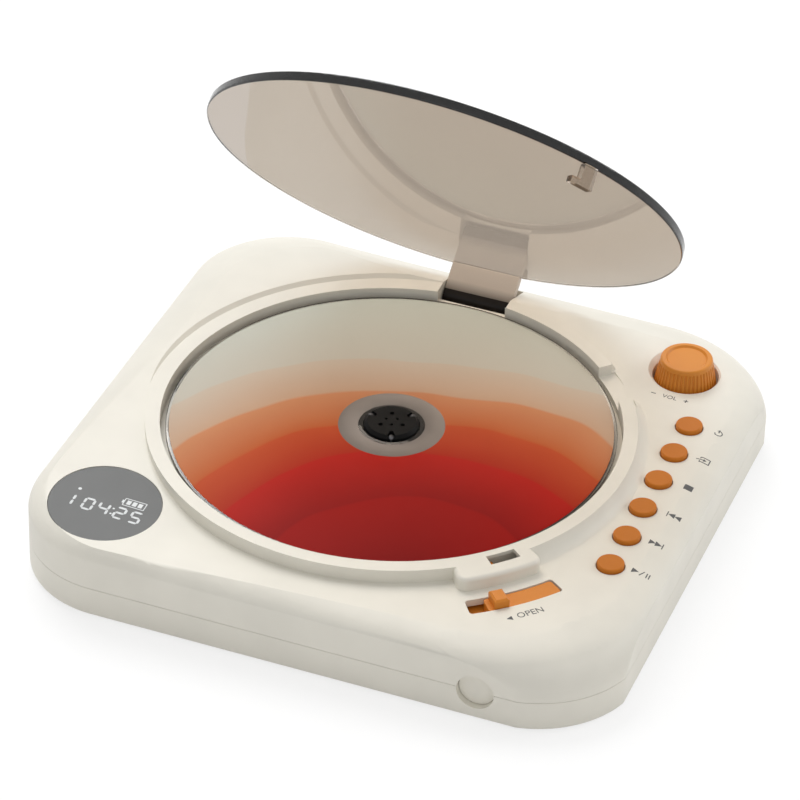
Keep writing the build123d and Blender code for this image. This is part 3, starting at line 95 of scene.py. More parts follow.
floorSet = {
    "size": 6.0,  # m
    "white": 1.04,  # glow of the paper as the eye sees it
    "shadow": 0.3,  # how much of a real shadow shows on it
    "bounce": 0.95,  # how light it is for every other ray
}


def addFloor():
    bpy.ops.mesh.primitive_plane_add(size=floorSet["size"], location=(0, 0, cadBox[0][2]))
    floor = bpy.context.active_object
    floor.name = "floor"
    bpy.ops.object.transform_apply(location=True, rotation=True, scale=True)
    material = bpy.data.materials.new("floorPaper")
    material.use_nodes = True
    tree = material.node_tree
    tree.nodes.clear()
    link = tree.links.new
    output = tree.nodes.new("ShaderNodeOutputMaterial")
    plain = tree.nodes.new("ShaderNodeBsdfDiffuse")
    plain.inputs["Color"].default_value = grey(floorSet["bounce"])
    lit = tree.nodes.new("ShaderNodeBsdfDiffuse")
    lit.inputs["Color"].default_value = grey(1)
    glow = tree.nodes.new("ShaderNodeEmission")
    glow.inputs["Strength"].default_value = floorSet["white"]
    seen = tree.nodes.new("ShaderNodeMixShader")
    seen.inputs["Fac"].default_value = 1 - floorSet["shadow"]
    link(lit.outputs[0], seen.inputs[1])
    link(glow.outputs[0], seen.inputs[2])
    choose = tree.nodes.new("ShaderNodeMixShader")
    link(seenByEye(tree), choose.inputs["Fac"])
    link(plain.outputs[0], choose.inputs[1])
    link(seen.outputs[0], choose.inputs[2])
    link(choose.outputs[0], output.inputs["Surface"])
    floor.data.materials.append(material)


def seenByEye(tree):
    # 1 for a ray from the camera, be it straight, mirrored or through clear plastic
    path = tree.nodes.new("ShaderNodeLightPath")
    either = tree.nodes.new("ShaderNodeMath")
    either.operation = "MAXIMUM"
    tree.links.new(path.outputs["Is Camera Ray"], either.inputs[0])
    tree.links.new(path.outputs["Is Glossy Ray"], either.inputs[1])
    anyRay = tree.nodes.new("ShaderNodeMath")
    anyRay.operation = "MAXIMUM"
    tree.links.new(either.outputs[0], anyRay.inputs[0])
    tree.links.new(path.outputs["Is Transmission Ray"], anyRay.inputs[1])
    return anyRay.outputs[0]


lampSet = {
    "room": 0.50,
    # places and sizes in m
    "lamps": {
        "key": {"place": (-0.7, 0.8, 1.5), "size": 1.3, "power": 21.0},
        "side": {"place": (1.5, 1.0, 0.9), "size": 1.0, "power": 7.5},
        "front": {"place": (0.3, -1.6, 1.0), "size": 1.0, "power": 2.0},
    },
}


def addLamps():
    world = bpy.data.worlds.new("room")
    bpy.context.scene.world = world
    world.use_nodes = True
    tree = world.node_tree
    tree.nodes.clear()
    light = tree.nodes.new("ShaderNodeBackground")
    light.inputs["Strength"].default_value = lampSet["room"]
    white = tree.nodes.new("ShaderNodeBackground")
    choose = tree.nodes.new("ShaderNodeMixShader")
    output = tree.nodes.new("ShaderNodeOutputWorld")
    for shade in (light, white):
        shade.inputs["Color"].default_value = grey(1)
    tree.links.new(seenByEye(tree), choose.inputs["Fac"])
    tree.links.new(light.outputs[0], choose.inputs[1])
    tree.links.new(white.outputs[0], choose.inputs[2])
    tree.links.new(choose.outputs[0], output.inputs["Surface"])
    for name, one in lampSet["lamps"].items():
        place = Vector(one["place"])
        bpy.ops.object.light_add(type="AREA", location=place)
        lamp = bpy.context.active_object
        lamp.name = name + "Lamp"
        lamp.data.shape = "DISK"
        lamp.data.size = one["size"]
        lamp.data.energy = one["power"]
        lamp.rotation_euler = (-place).to_track_quat("-Z", "Y").to_euler()
    bpy.context.scene.view_settings.view_transform = "Standard"


def newFinish(name, colour, roughness, metallic=0.0, shine=0.5):
    material = bpy.data.materials.new(name)
    material.use_nodes = True
    shader = material.node_tree.nodes["Principled BSDF"]
    shader.inputs["Base Color"].default_value = (*colour, 1)
    shader.inputs["Roughness"].default_value = roughness
    shader.inputs["Metallic"].default_value = metallic
    shader.inputs["Specular IOR Level"].default_value = shine
    return material, shader


def speckle(material, size, detail=3.0):
    tree = material.node_tree
    place = tree.nodes.new("ShaderNodeTexCoord")
    noise = tree.nodes.new("ShaderNodeTexNoise")
    noise.inputs["Scale"].default_value = 1 / (size * mm)
    noise.inputs["Detail"].default_value = detail
    tree.links.new(place.outputs["Object"], noise.inputs["Vector"])
    return noise.outputs["Fac"]


def ramp(material, value, stops):
    # a new ramp has two stops of its own, so only the further ones are added before all are set in order
    tree = material.node_tree
    node = tree.nodes.new("ShaderNodeValToRGB")
    for stop in stops[2:]:
        node.color_ramp.elements.new(stop[0])
    for element, (place, colour) in zip(node.color_ramp.elements, sorted(stops)):
        element.position = place
        element.color = (*colour, 1)
    tree.links.new(value, node.inputs["Fac"])
    return node.outputs["Color"]


def bumpBy(material, shader, value, height):
    bump = material.node_tree.nodes.new("ShaderNodeBump")
    bump.inputs["Strength"].default_value = 1.0
    bump.inputs["Distance"].default_value = height * mm
    material.node_tree.links.new(value, bump.inputs["Height"])
    material.node_tree.links.new(bump.outputs["Normal"], shader.inputs["Normal"])


def varyRoughness(material, shader, value, low, high):
    spread = material.node_tree.nodes.new("ShaderNodeMapRange")
    spread.inputs["To Min"].default_value = low
    spread.inputs["To Max"].default_value = high
    material.node_tree.links.new(value, spread.inputs["Value"])
    material.node_tree.links.new(spread.outputs[0], shader.inputs["Roughness"])


def darker(colour, share):
    return tuple(value * share for value in colour)


mouldedSet = {"cloud": 14.0, "from": 0.35, "to": 0.65, "gloss": 0.06}  # cloud size in mm


def moulded(name, colour, roughness=0.42, grain=0.25, height=0.004, shade=0.96, shine=0.5):
    # moulded plastic: a fine spark-eroded grain, faint flow clouds and uneven gloss
    material, shader = newFinish(name, colour, roughness, shine=shine)
    fine = speckle(material, grain)
    clouds = speckle(material, mouldedSet["cloud"], 2.0)
    tint = ramp(material, clouds, [(mouldedSet["from"], darker(colour, shade)), (mouldedSet["to"], colour)])
    material.node_tree.links.new(tint, shader.inputs["Base Color"])
    varyRoughness(material, shader, fine, roughness - mouldedSet["gloss"], roughness + mouldedSet["gloss"])
    bumpBy(material, shader, fine, height)
    return material


metalSet = {"shade": 0.88, "from": 0.3, "to": 0.7, "gloss": 0.08}


def metal(name, colour, roughness=0.28, grain=0.4, height=0.003):
    material, shader = newFinish(name, colour, roughness, metallic=1.0)
    fine = speckle(material, grain)
    dark = darker(colour, metalSet["shade"])
    tint = ramp(material, fine, [(metalSet["from"], dark), (metalSet["to"], colour)])
    material.node_tree.links.new(tint, shader.inputs["Base Color"])
    varyRoughness(material, shader, fine, roughness - metalSet["gloss"], roughness + metalSet["gloss"])
    bumpBy(material, shader, fine, height)
    return material


clearSet = {"ior": 1.49, "film": 0.92}


def clearPlastic(name, left, depth=400.0, roughness=0.03):
    # see-through plastic that darkens with its thickness; lamps shine straight through it
    material, shader = newFinish(name, (1, 1, 1), roughness)
    shader.inputs["Transmission Weight"].default_value = 1.0
    shader.inputs["IOR"].default_value = clearSet["ior"]
    tree = material.node_tree
    dye = tree.nodes.new("ShaderNodeVolumeAbsorption")
    dye.inputs["Color"].default_value = (*left, 1)
    dye.inputs["Density"].default_value = depth
    tree.links.new(dye.outputs[0], tree.nodes["Material Output"].inputs["Volume"])
    film = tree.nodes.new("ShaderNodeBsdfTransparent")
    film.inputs["Color"].default_value = grey(clearSet["film"])
    path = tree.nodes.new("ShaderNodeLightPath")
    choose = tree.nodes.new("ShaderNodeMixShader")
    output = tree.nodes["Material Output"]
    tree.links.new(path.outputs["Is Shadow Ray"], choose.inputs["Fac"])
    tree.links.new(shader.outputs[0], choose.inputs[1])
    tree.links.new(film.outputs[0], choose.inputs[2])
    tree.links.new(choose.outputs[0], output.inputs["Surface"])
    return material


armSet = {
    "depth": 560.0,
    "up": (0.0, 0.790, 0.613),  # the way along the arm, out of its barrel
    "dark": 66.3,  # the painted shade where the arm bends into its barrel ends here, mm that way from the origin
    "hazy": 74.4,  # the hazy stretch ends here, under the lid's edge
    "band": 0.37,  # share of the hazy stretch over which the painted shade fades out
    "darkEdge": 0.01,
    "hazyEdge": 0.98,
    "shade": 0.65,  # how dark the painted shade is where its fade begins
    "haze": 0.75,
    "milk": (0.80, 0.70, 0.60, 1),
    # painted shade: the near-black colour, roughness and shine laid on the arm where it bends into its barrel
    "paintedShade": (0.012, 0.009, 0.007, 1),
    "roughness": 0.35,
    "shine": 0.15,
}


def armPlastic(left):
    # smoked like the lid, hazy where it stands free of it, and with a painted shade, near black, where it
    # bends into its barrel
    material = clearPlastic("smokedArmPaintedShade", left, armSet["depth"])
    tree = material.node_tree
    link = tree.links.new
    output = tree.nodes["Material Output"]
    clear = output.inputs["Surface"].links[0].from_socket
    place = tree.nodes.new("ShaderNodeTexCoord")
    along = tree.nodes.new("ShaderNodeVectorMath")
    along.operation = "DOT_PRODUCT"
    along.inputs[1].default_value = armSet["up"]
    link(place.outputs["Object"], along.inputs[0])
    share = tree.nodes.new("ShaderNodeMapRange")
    share.inputs["From Min"].default_value = armSet["dark"] * mm
    share.inputs["From Max"].default_value = armSet["hazy"] * mm
    link(along.outputs["Value"], share.inputs["Value"])
    haze = (armSet["haze"],) * 3
    shade = (armSet["shade"],) * 3
    none = (0.0, 0.0, 0.0)
    hazeStops = [(0.0, haze), (1.0, none), (armSet["hazyEdge"], haze)]
    # painted shade: full below the bend's edge, then fading out over the band
    paintedShadeStops = [(0.0, (1, 1, 1)), (1.0, none), (armSet["darkEdge"], shade), (armSet["band"], none)]
    hazeShare = ramp(material, share.outputs[0], hazeStops)
    paintedShadeShare = ramp(material, share.outputs[0], paintedShadeStops)
    milk = tree.nodes.new("ShaderNodeBsdfDiffuse")
    milk.inputs["Color"].default_value = armSet["milk"]
    paintedShade = tree.nodes.new("ShaderNodeBsdfPrincipled")
    paintedShade.inputs["Base Color"].default_value = armSet["paintedShade"]
    paintedShade.inputs["Roughness"].default_value = armSet["roughness"]
    paintedShade.inputs["Specular IOR Level"].default_value = armSet["shine"]
    hazed = tree.nodes.new("ShaderNodeMixShader")
    link(hazeShare, hazed.inputs["Fac"])
    link(clear, hazed.inputs[1])
    link(milk.outputs[0], hazed.inputs[2])
    choose = tree.nodes.new("ShaderNodeMixShader")
    link(paintedShadeShare, choose.inputs["Fac"])
    link(hazed.outputs[0], choose.inputs[1])
    link(paintedShade.outputs[0], choose.inputs[2])
    link(choose.outputs[0], output.inputs["Surface"])
    return material


printSet = {
    "sun": (27.0, -60.0, 23.0),  # middle of the arcs, mm
    "reach": 125.0,  # mm from there to the end of the last band
    "sway": 0.07,  # how far the arcs wander, as a share of the reach
    "cloud": 34.0,
    "edge": 0.004,  # how soft the step between two bands is
    "roughness": 0.5,
    "shine": 0.06,
    "dots": 0.3,
    "gloss": (0.46, 0.54),
    # where each band begins, and its colour there and at its far edge
    "bands": [
        (0.00, (0.185, 0.004, 0.004), (0.31, 0.008, 0.006)),
        (0.28, (0.25, 0.007, 0.006), (0.44, 0.016, 0.010)),
        (0.43, (0.40, 0.030, 0.012), (0.50, 0.080, 0.026)),
        (0.54, (0.50, 0.12, 0.038), (0.58, 0.25, 0.12)),
        (0.65, (0.56, 0.36, 0.24), (0.58, 0.48, 0.38)),
        (0.77, (0.56, 0.52, 0.44), (0.57, 0.60, 0.54)),
    ],
}


def discPrint():
    # plain arcs in a warm range, from deep red to pale grey, each fading outwards
    material, shader = newFinish("discPrint", (0.6, 0.3, 0.2), printSet["roughness"], shine=printSet["shine"])
    tree = material.node_tree
    link = tree.links.new
    place = tree.nodes.new("ShaderNodeTexCoord")
    away = tree.nodes.new("ShaderNodeVectorMath")
    away.operation = "DISTANCE"
    away.inputs[1].default_value = Vector(printSet["sun"]) * mm
    link(place.outputs["Object"], away.inputs[0])
    share = tree.nodes.new("ShaderNodeMath")
    share.operation = "MULTIPLY_ADD"
    share.inputs[1].default_value = 1 / (printSet["reach"] * mm)
    share.inputs[2].default_value = -printSet["sway"] / 2
    link(away.outputs["Value"], share.inputs[0])
    drift = tree.nodes.new("ShaderNodeMath")
    drift.operation = "MULTIPLY_ADD"
    drift.inputs[1].default_value = printSet["sway"]
    link(speckle(material, printSet["cloud"], 1.0), drift.inputs[0])
    link(share.outputs[0], drift.inputs[2])
    starts = [band[0] for band in printSet["bands"]]
    ends = [start - printSet["edge"] for start in starts[1:]] + [1.0]
    stops = []
    for (start, near, far), end in zip(printSet["bands"], ends):
        stops += [(start, near), (end, far)]
    colour = ramp(material, drift.outputs[0], stops)
    link(colour, shader.inputs["Base Color"])
    dots = speckle(material, printSet["dots"], 2.0)
    varyRoughness(material, shader, dots, *printSet["gloss"])
    return material


inkSet = {"grain": 0.15, "shade": 0.85, "from": 0.3, "to": 0.7}


def ink(name, colour, roughness=0.6):
    material, shader = newFinish(name, colour, roughness)
    fine = speckle(material, inkSet["grain"])
    tint = ramp(material, fine, [(inkSet["from"], darker(colour, inkSet["shade"])), (inkSet["to"], colour)])
    material.node_tree.links.new(tint, shader.inputs["Base Color"])
    return material


smoke = (0.45, 0.33, 0.19)  # what the lid and its arm let through
orangeFeel = {"roughness": 0.40, "grain": 0.2, "height": 0.002, "shade": 0.95, "shine": 0.35}
plasticLooks = {
    "cream_shell": ("creamShell", (0.795, 0.765, 0.680), {"roughness": 0.45, "height": 0.003}),
    "orange": ("orangePlastic", (0.68, 0.225, 0.020), orangeFeel),
    # painted light: a paler copy of the orange for the knob, standing in for the sheen on its top and lifting
    # its shaded sides
    "orange_knob": ("orangeKnob", (0.68, 0.245, 0.026), orangeFeel),
    # painted shade: a darker copy of the orange for the keys
    "orange_keys": ("orangeKeys", (0.56, 0.170, 0.012), {**orangeFeel, "roughness": 0.42, "shine": 0.22}),
    "display_grey": ("displayGrey", (0.115, 0.118, 0.116),
                     {"roughness": 0.35, "grain": 3.0, "height": 0.0005, "shade": 0.98, "shine": 0.25}),
    "black_plastic": ("blackPlastic", (0.006, 0.006, 0.006),
                      {"roughness": 0.45, "grain": 0.3, "height": 0.002, "shade": 0.8, "shine": 0.07}),
    "white_plastic": ("whitePlastic", (0.80, 0.80, 0.76), {"roughness": 0.4, "grain": 0.3, "height": 0.002}),
    "rubber": ("softRubber", (0.035, 0.034, 0.033),
               {"roughness": 0.8, "grain": 0.5, "height": 0.01, "shade": 0.8}),
    "circuit_board": ("circuitBoard", (0.03, 0.16, 0.07), {"roughness": 0.35, "grain": 0.8, "shade": 0.7}),
    "chip_black": ("chipBlack", (0.03, 0.03, 0.032), {"roughness": 0.55, "grain": 0.3, "shade": 0.8}),
    "battery_wrap": ("batteryWrap", (0.08, 0.20, 0.44), {"roughness": 0.3, "grain": 0.6, "shade": 0.85}),
    "speaker_black": ("speakerBlack", (0.04, 0.04, 0.042), {"roughness": 0.5, "grain": 0.4, "shade": 0.8}),
}
metalLooks = {
    "disc_mirror": ("discMirror", (0.215, 0.195, 0.182), {"roughness": 0.60, "grain": 6.0, "height": 0.0}),
    "bright_steel": ("brightSteel", (0.60, 0.60, 0.61), {}),
    "dark_screws": ("darkScrews", (0.10, 0.10, 0.105), {"roughness": 0.35}),
}
clearLooks = {
    "smoked_clear": ("smokedClear", smoke, {}),
    "disc_clear": ("discClear", (0.90, 0.91, 0.90), {"depth": 100.0}),
    "lens_glass": ("lensGlass", (0.55, 0.66, 0.85), {}),
}
inkLooks = {
    "mark_grey": ("markGrey", (0.10, 0.10, 0.10), {}),
    "readout_white": ("readoutWhite", (0.72, 0.74, 0.75), {"roughness": 0.35}),
}


def makeFinishes():
    kinds = ((moulded, plasticLooks), (metal, metalLooks), (clearPlastic, clearLooks), (ink, inkLooks))
    finishes = {slot: make(name, colour, **feel)
                for make, table in kinds for slot, (name, colour, feel) in table.items()}
    # the arm's finish, with painted shade where it bends into its barrel
    finishes["smoked_arm_painted_shade"] = armPlastic(smoke)
    finishes["disc_print"] = discPrint()
    print("finishes made:", len(finishes))
    return finishes


def pick(piece):
    bpy.ops.object.select_all(action="DESELECT")
    piece.select_set(True)
    bpy.context.view_layer.objects.active = piece


def smoothCopy(node, finish, angle=32):
    pick(nodes[node])
    bpy.ops.object.duplicate()
    piece = bpy.context.active_object
    piece.name = node + "_look"
    bpy.ops.mesh.customdata_custom_splitnormals_clear()
    bpy.ops.object.mode_set(mode="EDIT")
    bpy.ops.mesh.select_all(action="SELECT")
    bpy.ops.mesh.remove_doubles(threshold=weldCopy)
    bpy.ops.object.mode_set(mode="OBJECT")
    bpy.ops.object.shade_smooth_by_angle(angle=math.radians(angle))
    # large flat faces stay flat right up to their rounded edges
    bpy.ops.object.modifier_add(type="WEIGHTED_NORMAL")
    piece.modifiers[-1].keep_sharp = True
    bpy.ops.object.modifier_apply(modifier=piece.modifiers[-1].name)
    wear(piece, finish)
    stand(piece, node)
    return piece


def wear(piece, *used):
    piece.data.materials.clear()
    for finish in used:
        piece.data.materials.append(finish)


def stand(piece, node):
    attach(piece, bodyOf[node])
    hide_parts(node)


def turned(name, outline, sides, shade=30):
    # a round piece: a ring of points, extruded from level to level along the outline (radius, height in mm)
    radius, height = outline[0]
    bpy.ops.mesh.primitive_circle_add(vertices=sides, radius=radius * mm, location=(0, 0, height * mm))
    piece = bpy.context.active_object
    piece.name = name
    bpy.ops.object.transform_apply(location=True, rotation=True, scale=True)
    bpy.ops.object.mode_set(mode="EDIT")
    bpy.ops.mesh.select_all(action="SELECT")
    for (radius, height), (lastRadius, lastHeight) in zip(outline[1:], outline[:-1]):
        bpy.ops.mesh.extrude_edges_move()
        share = radius / lastRadius
        bpy.ops.transform.resize(value=(share, share, 1), center_override=(0, 0, 0))
        bpy.ops.transform.translate(value=(0, 0, (height - lastHeight) * mm))
    bpy.ops.mesh.select_all(action="SELECT")
    bpy.ops.mesh.remove_doubles(threshold=weldOwn)
    bpy.ops.mesh.normals_make_consistent(inside=False)
    bpy.ops.object.mode_set(mode="OBJECT")
    bpy.ops.object.shade_smooth_by_angle(angle=math.radians(shade))
    return piece


discSet = {
    # radii, mm: the hole, where each ring ends, and the rim
    "hole": 7.5,
    "clearTo": 8.9,
    "mirrorTo": 14.25,
    "clampTo": 22.0,
    "printTo": 59.1,
    "radius": 60.0,
    "under": 21.8,
    "top": 23.0,
    "chamfer": 0.12,
    "dip": 0.05,
    "sides": 192,
}


def discOutline():
    hole, radius = discSet["hole"], discSet["radius"]
    clearTo, mirrorTo, printTo = discSet["clearTo"], discSet["mirrorTo"], discSet["printTo"]
    under, top, edge = discSet["under"], discSet["top"], discSet["chamfer"]
    low = top - discSet["dip"]
    upward = [(hole, under + edge), (hole, top - edge), (hole + edge, top)]
    outward = [(clearTo, top), (clearTo + edge, low), (mirrorTo - edge, low), (mirrorTo, top), (printTo, top),
               (printTo + edge, low), (radius - edge, low)]
    downward = [(radius, low - edge), (radius, under + edge), (radius - edge, under)]
    inward = [(printTo, under), (discSet["clampTo"], under), (mirrorTo, under), (hole + edge, under)]
    return upward + outward + downward + inward + upward[:1]


def makeDisc(finishes):
    piece = turned("printed_disc", discOutline(), discSet["sides"])
    wear(piece, finishes["disc_print"], finishes["disc_mirror"], finishes["disc_clear"])
    halfway = (discSet["under"] + discSet["top"]) / 2 * mm
    for face in piece.data.polygons:
        away = face.center.xy.length / mm
        if away < discSet["clearTo"] or away > discSet["printTo"]:
            face.material_index = 2
        elif away < discSet["mirrorTo"] or face.center.z <= halfway:
            face.material_index = 1
    stand(piece, "disc")
    print("disc made")


aboveAll = 0.05  # m; higher than the case, so that a ray down meets its top first


def topOf(carrier, x, y):
    place = carrier.ray_cast(Vector((x, y, aboveAll)), Vector((0, 0, -1)))[1]
    return place.z


def layOn(piece, carrier, thick=0.03, cuts=3):
    # the flat mark, modelled at height 0, comes down on the curved face of the carrier
    pick(piece)
    bpy.ops.object.mode_set(mode="EDIT")
    bpy.ops.mesh.select_all(action="SELECT")
    bpy.ops.mesh.quads_convert_to_tris()
    bpy.ops.mesh.subdivide(number_cuts=cuts)
    bpy.ops.mesh.select_all(action="SELECT")
    bpy.ops.mesh.extrude_region_move(TRANSFORM_OT_translate={"value": (0, 0, 2 * thick * mm)})
    bpy.ops.mesh.select_all(action="SELECT")
    bpy.ops.mesh.normals_make_consistent(inside=False)
    bpy.ops.object.mode_set(mode="OBJECT")
    for point in piece.data.vertices:
        point.co.z += topOf(carrier, point.co.x, point.co.y) - thick * mm


def flat(corners, place, size, turn=0.0):
    # a flat shape with so many corners, as wide and high as size
    bpy.ops.mesh.primitive_circle_add(vertices=corners, radius=1, fill_type="NGON",
                                      rotation=(0, 0, math.radians(turn)))
    shape = bpy.context.active_object
    bpy.ops.object.transform_apply(location=True, rotation=True, scale=True)
    across = [point.co.x for point in shape.data.vertices]
    along = [point.co.y for point in shape.data.vertices]
    middle = Vector(((max(across) + min(across)) / 2, (max(along) + min(along)) / 2, 0))
    for point in shape.data.vertices:
        point.co = point.co - middle
    shape.scale = (size[0] * mm / (max(across) - min(across)), size[1] * mm / (max(along) - min(along)), 1)
    shape.location = (place[0] * mm, place[1] * mm, 0)
    bpy.ops.object.transform_apply(location=True, rotation=True, scale=True)
    return shape


def bar(place, size):
    return flat(4, place, size, 45)


def arrow(place, size, way):
    return flat(3, place, size, 90 if way < 0 else -90)


hoopSteps = 40  # straight bits in the open band of the power sign


def hoop(place, radius, width, start, stop):
    # a flat band round a middle, from one angle to another
    bpy.ops.mesh.primitive_plane_add(size=1)
    shape = bpy.context.active_object
    bpy.ops.object.mode_set(mode="EDIT")
    bpy.ops.mesh.select_all(action="SELECT")
    bpy.ops.mesh.delete(type="ONLY_FACE")
    bpy.ops.object.mode_set(mode="OBJECT")
    inner = Vector((radius - width / 2, 0, 0)) * mm
    outer = Vector((radius + width / 2, 0, 0)) * mm
    turn = Matrix.Rotation(math.radians(start), 4, "Z")
    for point in shape.data.vertices:
        point.co = turn @ (inner if point.co.x < 0 else outer)
    bpy.ops.object.mode_set(mode="EDIT")
    bpy.ops.mesh.select_all(action="SELECT")
    bpy.ops.mesh.remove_doubles(threshold=weldOwn)
    bpy.ops.mesh.spin(steps=hoopSteps, angle=math.radians(stop - start), center=(0, 0, 0), axis=(0, 0, 1))
    bpy.ops.mesh.select_all(action="SELECT")
    bpy.ops.mesh.remove_doubles(threshold=weldOwn)
    bpy.ops.object.mode_set(mode="OBJECT")
    shape.location = (place[0] * mm, place[1] * mm, 0)
    bpy.ops.object.transform_apply(location=True, rotation=True, scale=True)
    return shape


wordSet = {"capital": 0.7, "curve": 3}  # a capital's height as a share of the letter size; points per curve


def words(text, place, height):
    bpy.ops.object.text_add()
    piece = bpy.context.active_object
    piece.data.body = text
    piece.data.size = height * mm / wordSet["capital"]
    piece.data.align_x = "CENTER"
    piece.data.resolution_u = wordSet["curve"]
    bpy.ops.object.convert(target="MESH")
    piece = bpy.context.active_object
    piece.location = (place[0] * mm, (place[1] - height / 2) * mm, 0)
    pick(piece)
    bpy.ops.object.transform_apply(location=True, rotation=True, scale=True)
    return piece


def together(name, shapes):
    bpy.ops.object.select_all(action="DESELECT")
    for shape in shapes:
        shape.select_set(True)
    bpy.context.view_layer.objects.active = shapes[0]
    if len(shapes) > 1:
        bpy.ops.object.join()
    piece = bpy.context.active_object
    piece.name = name
    return piece


def put(shape, place, turn):
    # turned about its own middle, then moved there
    pick(shape)
    shape.rotation_euler = (0, 0, math.radians(turn))
    shape.location = (place[0] * mm, place[1] * mm, 0)
    bpy.ops.object.transform_apply(location=True, rotation=True, scale=True)
    return shape


def onCircle(radius, angle):
    return radius * math.cos(math.radians(angle)), radius * math.sin(math.radians(angle))


markSet = {
    "column": 80.7,  # middle of the signs beside the buttons, mm
    "front": -32.0,
    "pitch": 13.0,
    "line": 0.28,
    "stop": (2.4, 2.1),
}
playSet = {"arrow": -1.6, "arrowSize": (1.9, 1.9), "slash": 0.2, "slashHigh": 2.2, "lean": -25,
           "bars": (1.5, 2.2), "barHigh": 1.8}
skipSet = {"arrows": (-1.3, 0.4), "arrowSize": (1.8, 1.9), "bar": 1.5, "barHigh": 2.1}
sourceSet = {"middle": 0.3, "wide": 2.8, "half": 1.0, "right": 1.6, "high": 2.2, "left": -1.0, "tick": 0.6,
             "tickAt": 0.75, "lead": 2.2, "tip": 0.35, "tipSize": (0.9, 1.1)}
powerSet = {"radius": 1.0, "from": 120, "to": 420, "bar": 0.75, "barHigh": 1.3}
volumeSet = {"row": 43.2, "word": 63.6, "letters": 1.5, "less": 59.0, "more": 68.2, "sign": 1.3}
openSet = {"letters": 2.0, "angle": -44.2, "radius": 83.9, "tip": 1.6, "tipAngle": -48.2, "tipRadius": 84.3}


def playMark(x, y):
    line = markSet["line"]
    shapes = [arrow((x + playSet["arrow"], y), playSet["arrowSize"], 1)]
    slash = bar((0, 0), (line, playSet["slashHigh"]))
    shapes.append(put(slash, (x + playSet["slash"], y), playSet["lean"]))
    return shapes + [bar((x + place, y), (line, playSet["barHigh"])) for place in playSet["bars"]]


def skipMark(x, y, way):
    shapes = [arrow((x + place * way, y), skipSet["arrowSize"], way) for place in skipSet["arrows"]]
    return shapes + [bar((x + skipSet["bar"] * way, y), (markSet["line"], skipSet["barHigh"]))]


def sourceMark(x, y):
    # a box, open where the arrow goes in
    line = markSet["line"]
    long = (sourceSet["wide"], line)
    tick = (line, sourceSet["tick"])
    left = x + sourceSet["left"]
    return [
        bar((x + sourceSet["middle"], y + sourceSet["half"]), long),
        bar((x + sourceSet["middle"], y - sourceSet["half"]), long),
        bar((x + sourceSet["right"], y), (line, sourceSet["high"])),
        bar((left, y + sourceSet["tickAt"]), tick),
        bar((left, y - sourceSet["tickAt"]), tick),
        bar((left, y), (sourceSet["lead"], line)),
        arrow((x + sourceSet["tip"], y), sourceSet["tipSize"], 1),
    ]


def powerMark(x, y):
    line = markSet["line"]
    return [hoop((x, y), powerSet["radius"], line, powerSet["from"], powerSet["to"]),
            bar((x, y + powerSet["bar"]), (line, powerSet["barHigh"]))]


def volumeMark():
    row = volumeSet["row"]
    flatLine = (volumeSet["sign"], markSet["line"])
    return [
        words("VOL", (volumeSet["word"], row), volumeSet["letters"]),
        bar((volumeSet["less"], row), flatLine),
        bar((volumeSet["more"], row), flatLine),
        bar((volumeSet["more"], row), flatLine[::-1]),
    ]


def openMark():
    word = words("OPEN", (0, 0), openSet["letters"])
    put(word, onCircle(openSet["radius"], openSet["angle"]), openSet["angle"] + 90)
    tip = arrow((0, 0), (openSet["tip"], openSet["tip"]), -1)
    put(tip, onCircle(openSet["tipRadius"], openSet["tipAngle"]), openSet["tipAngle"] + 90)
    return [word, tip]


def makeMarks(finishes, carrier):
    column = markSet["column"]
    rows = [markSet["front"] + markSet["pitch"] * index for index in range(len(keyNames))]
    marks = {
        "mark_play": playMark(column, rows[0]),
        "mark_next": skipMark(column, rows[1], 1),
        "mark_previous": skipMark(column, rows[2], -1),
        "mark_stop": [bar((column, rows[3]), markSet["stop"])],
        "mark_source": sourceMark(column, rows[4]),
        "mark_power": powerMark(column, rows[5]),
        "mark_volume": volumeMark(),
        "mark_open": openMark(),
    }
    for name, shapes in marks.items():
        piece = together(name, shapes)
        layOn(piece, carrier)
        wear(piece, finishes["mark_grey"])
        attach(piece, "case")
    print("marks laid:", len(marks))


readoutSet = {
    "middle": (-56.2, -60.0),
    "row": -1.95,
    "height": 4.8,
    "width": 3.2,
    "line": 0.68,
    "gap": 0.12,
    "digits": [(-9.4, 1), (-3.85, 0), (0.4, 4), (5.0, 2), (9.4, 5)],
    "colon": 2.9,
    "colonHalf": 1.05,
    "colonDot": 0.6,
    "colonSides": 16,
    "lamp": (-8.3, 2.75),
    "lampDot": 0.95,
    "lampSides": 20,
    "thick": 0.02,
    "cuts": 1,
}
# which strokes each digit lights: top, upper left, upper right, middle, lower left, lower right, bottom
strokes = {
    0: (1, 1, 1, 0, 1, 1, 1),
    1: (0, 0, 1, 0, 0, 1, 0),
    2: (1, 0, 1, 1, 1, 0, 1),
    4: (0, 1, 1, 1, 0, 1, 0),
    5: (1, 1, 0, 1, 0, 1, 1),
}
batterySet = {"middle": (7.15, 2.8), "size": (5.9, 2.7), "cells": 3, "line": 0.24, "inset": 0.55, "gap": 0.45,
              "nub": 0.45, "nubAt": 0.35, "nubHigh": 0.42}


def stroke(place, length, upright):
    # one lit stroke of a digit, pointed at both ends
    width = readoutSet["line"]
    shape = bar((0, 0), (length - width, width))
    tips = [flat(4, (side * (length - width) / 2, 0), (width, width)) for side in (-1, 1)]
    return put(together("stroke", [shape, *tips]), place, 90 if upright else 0)


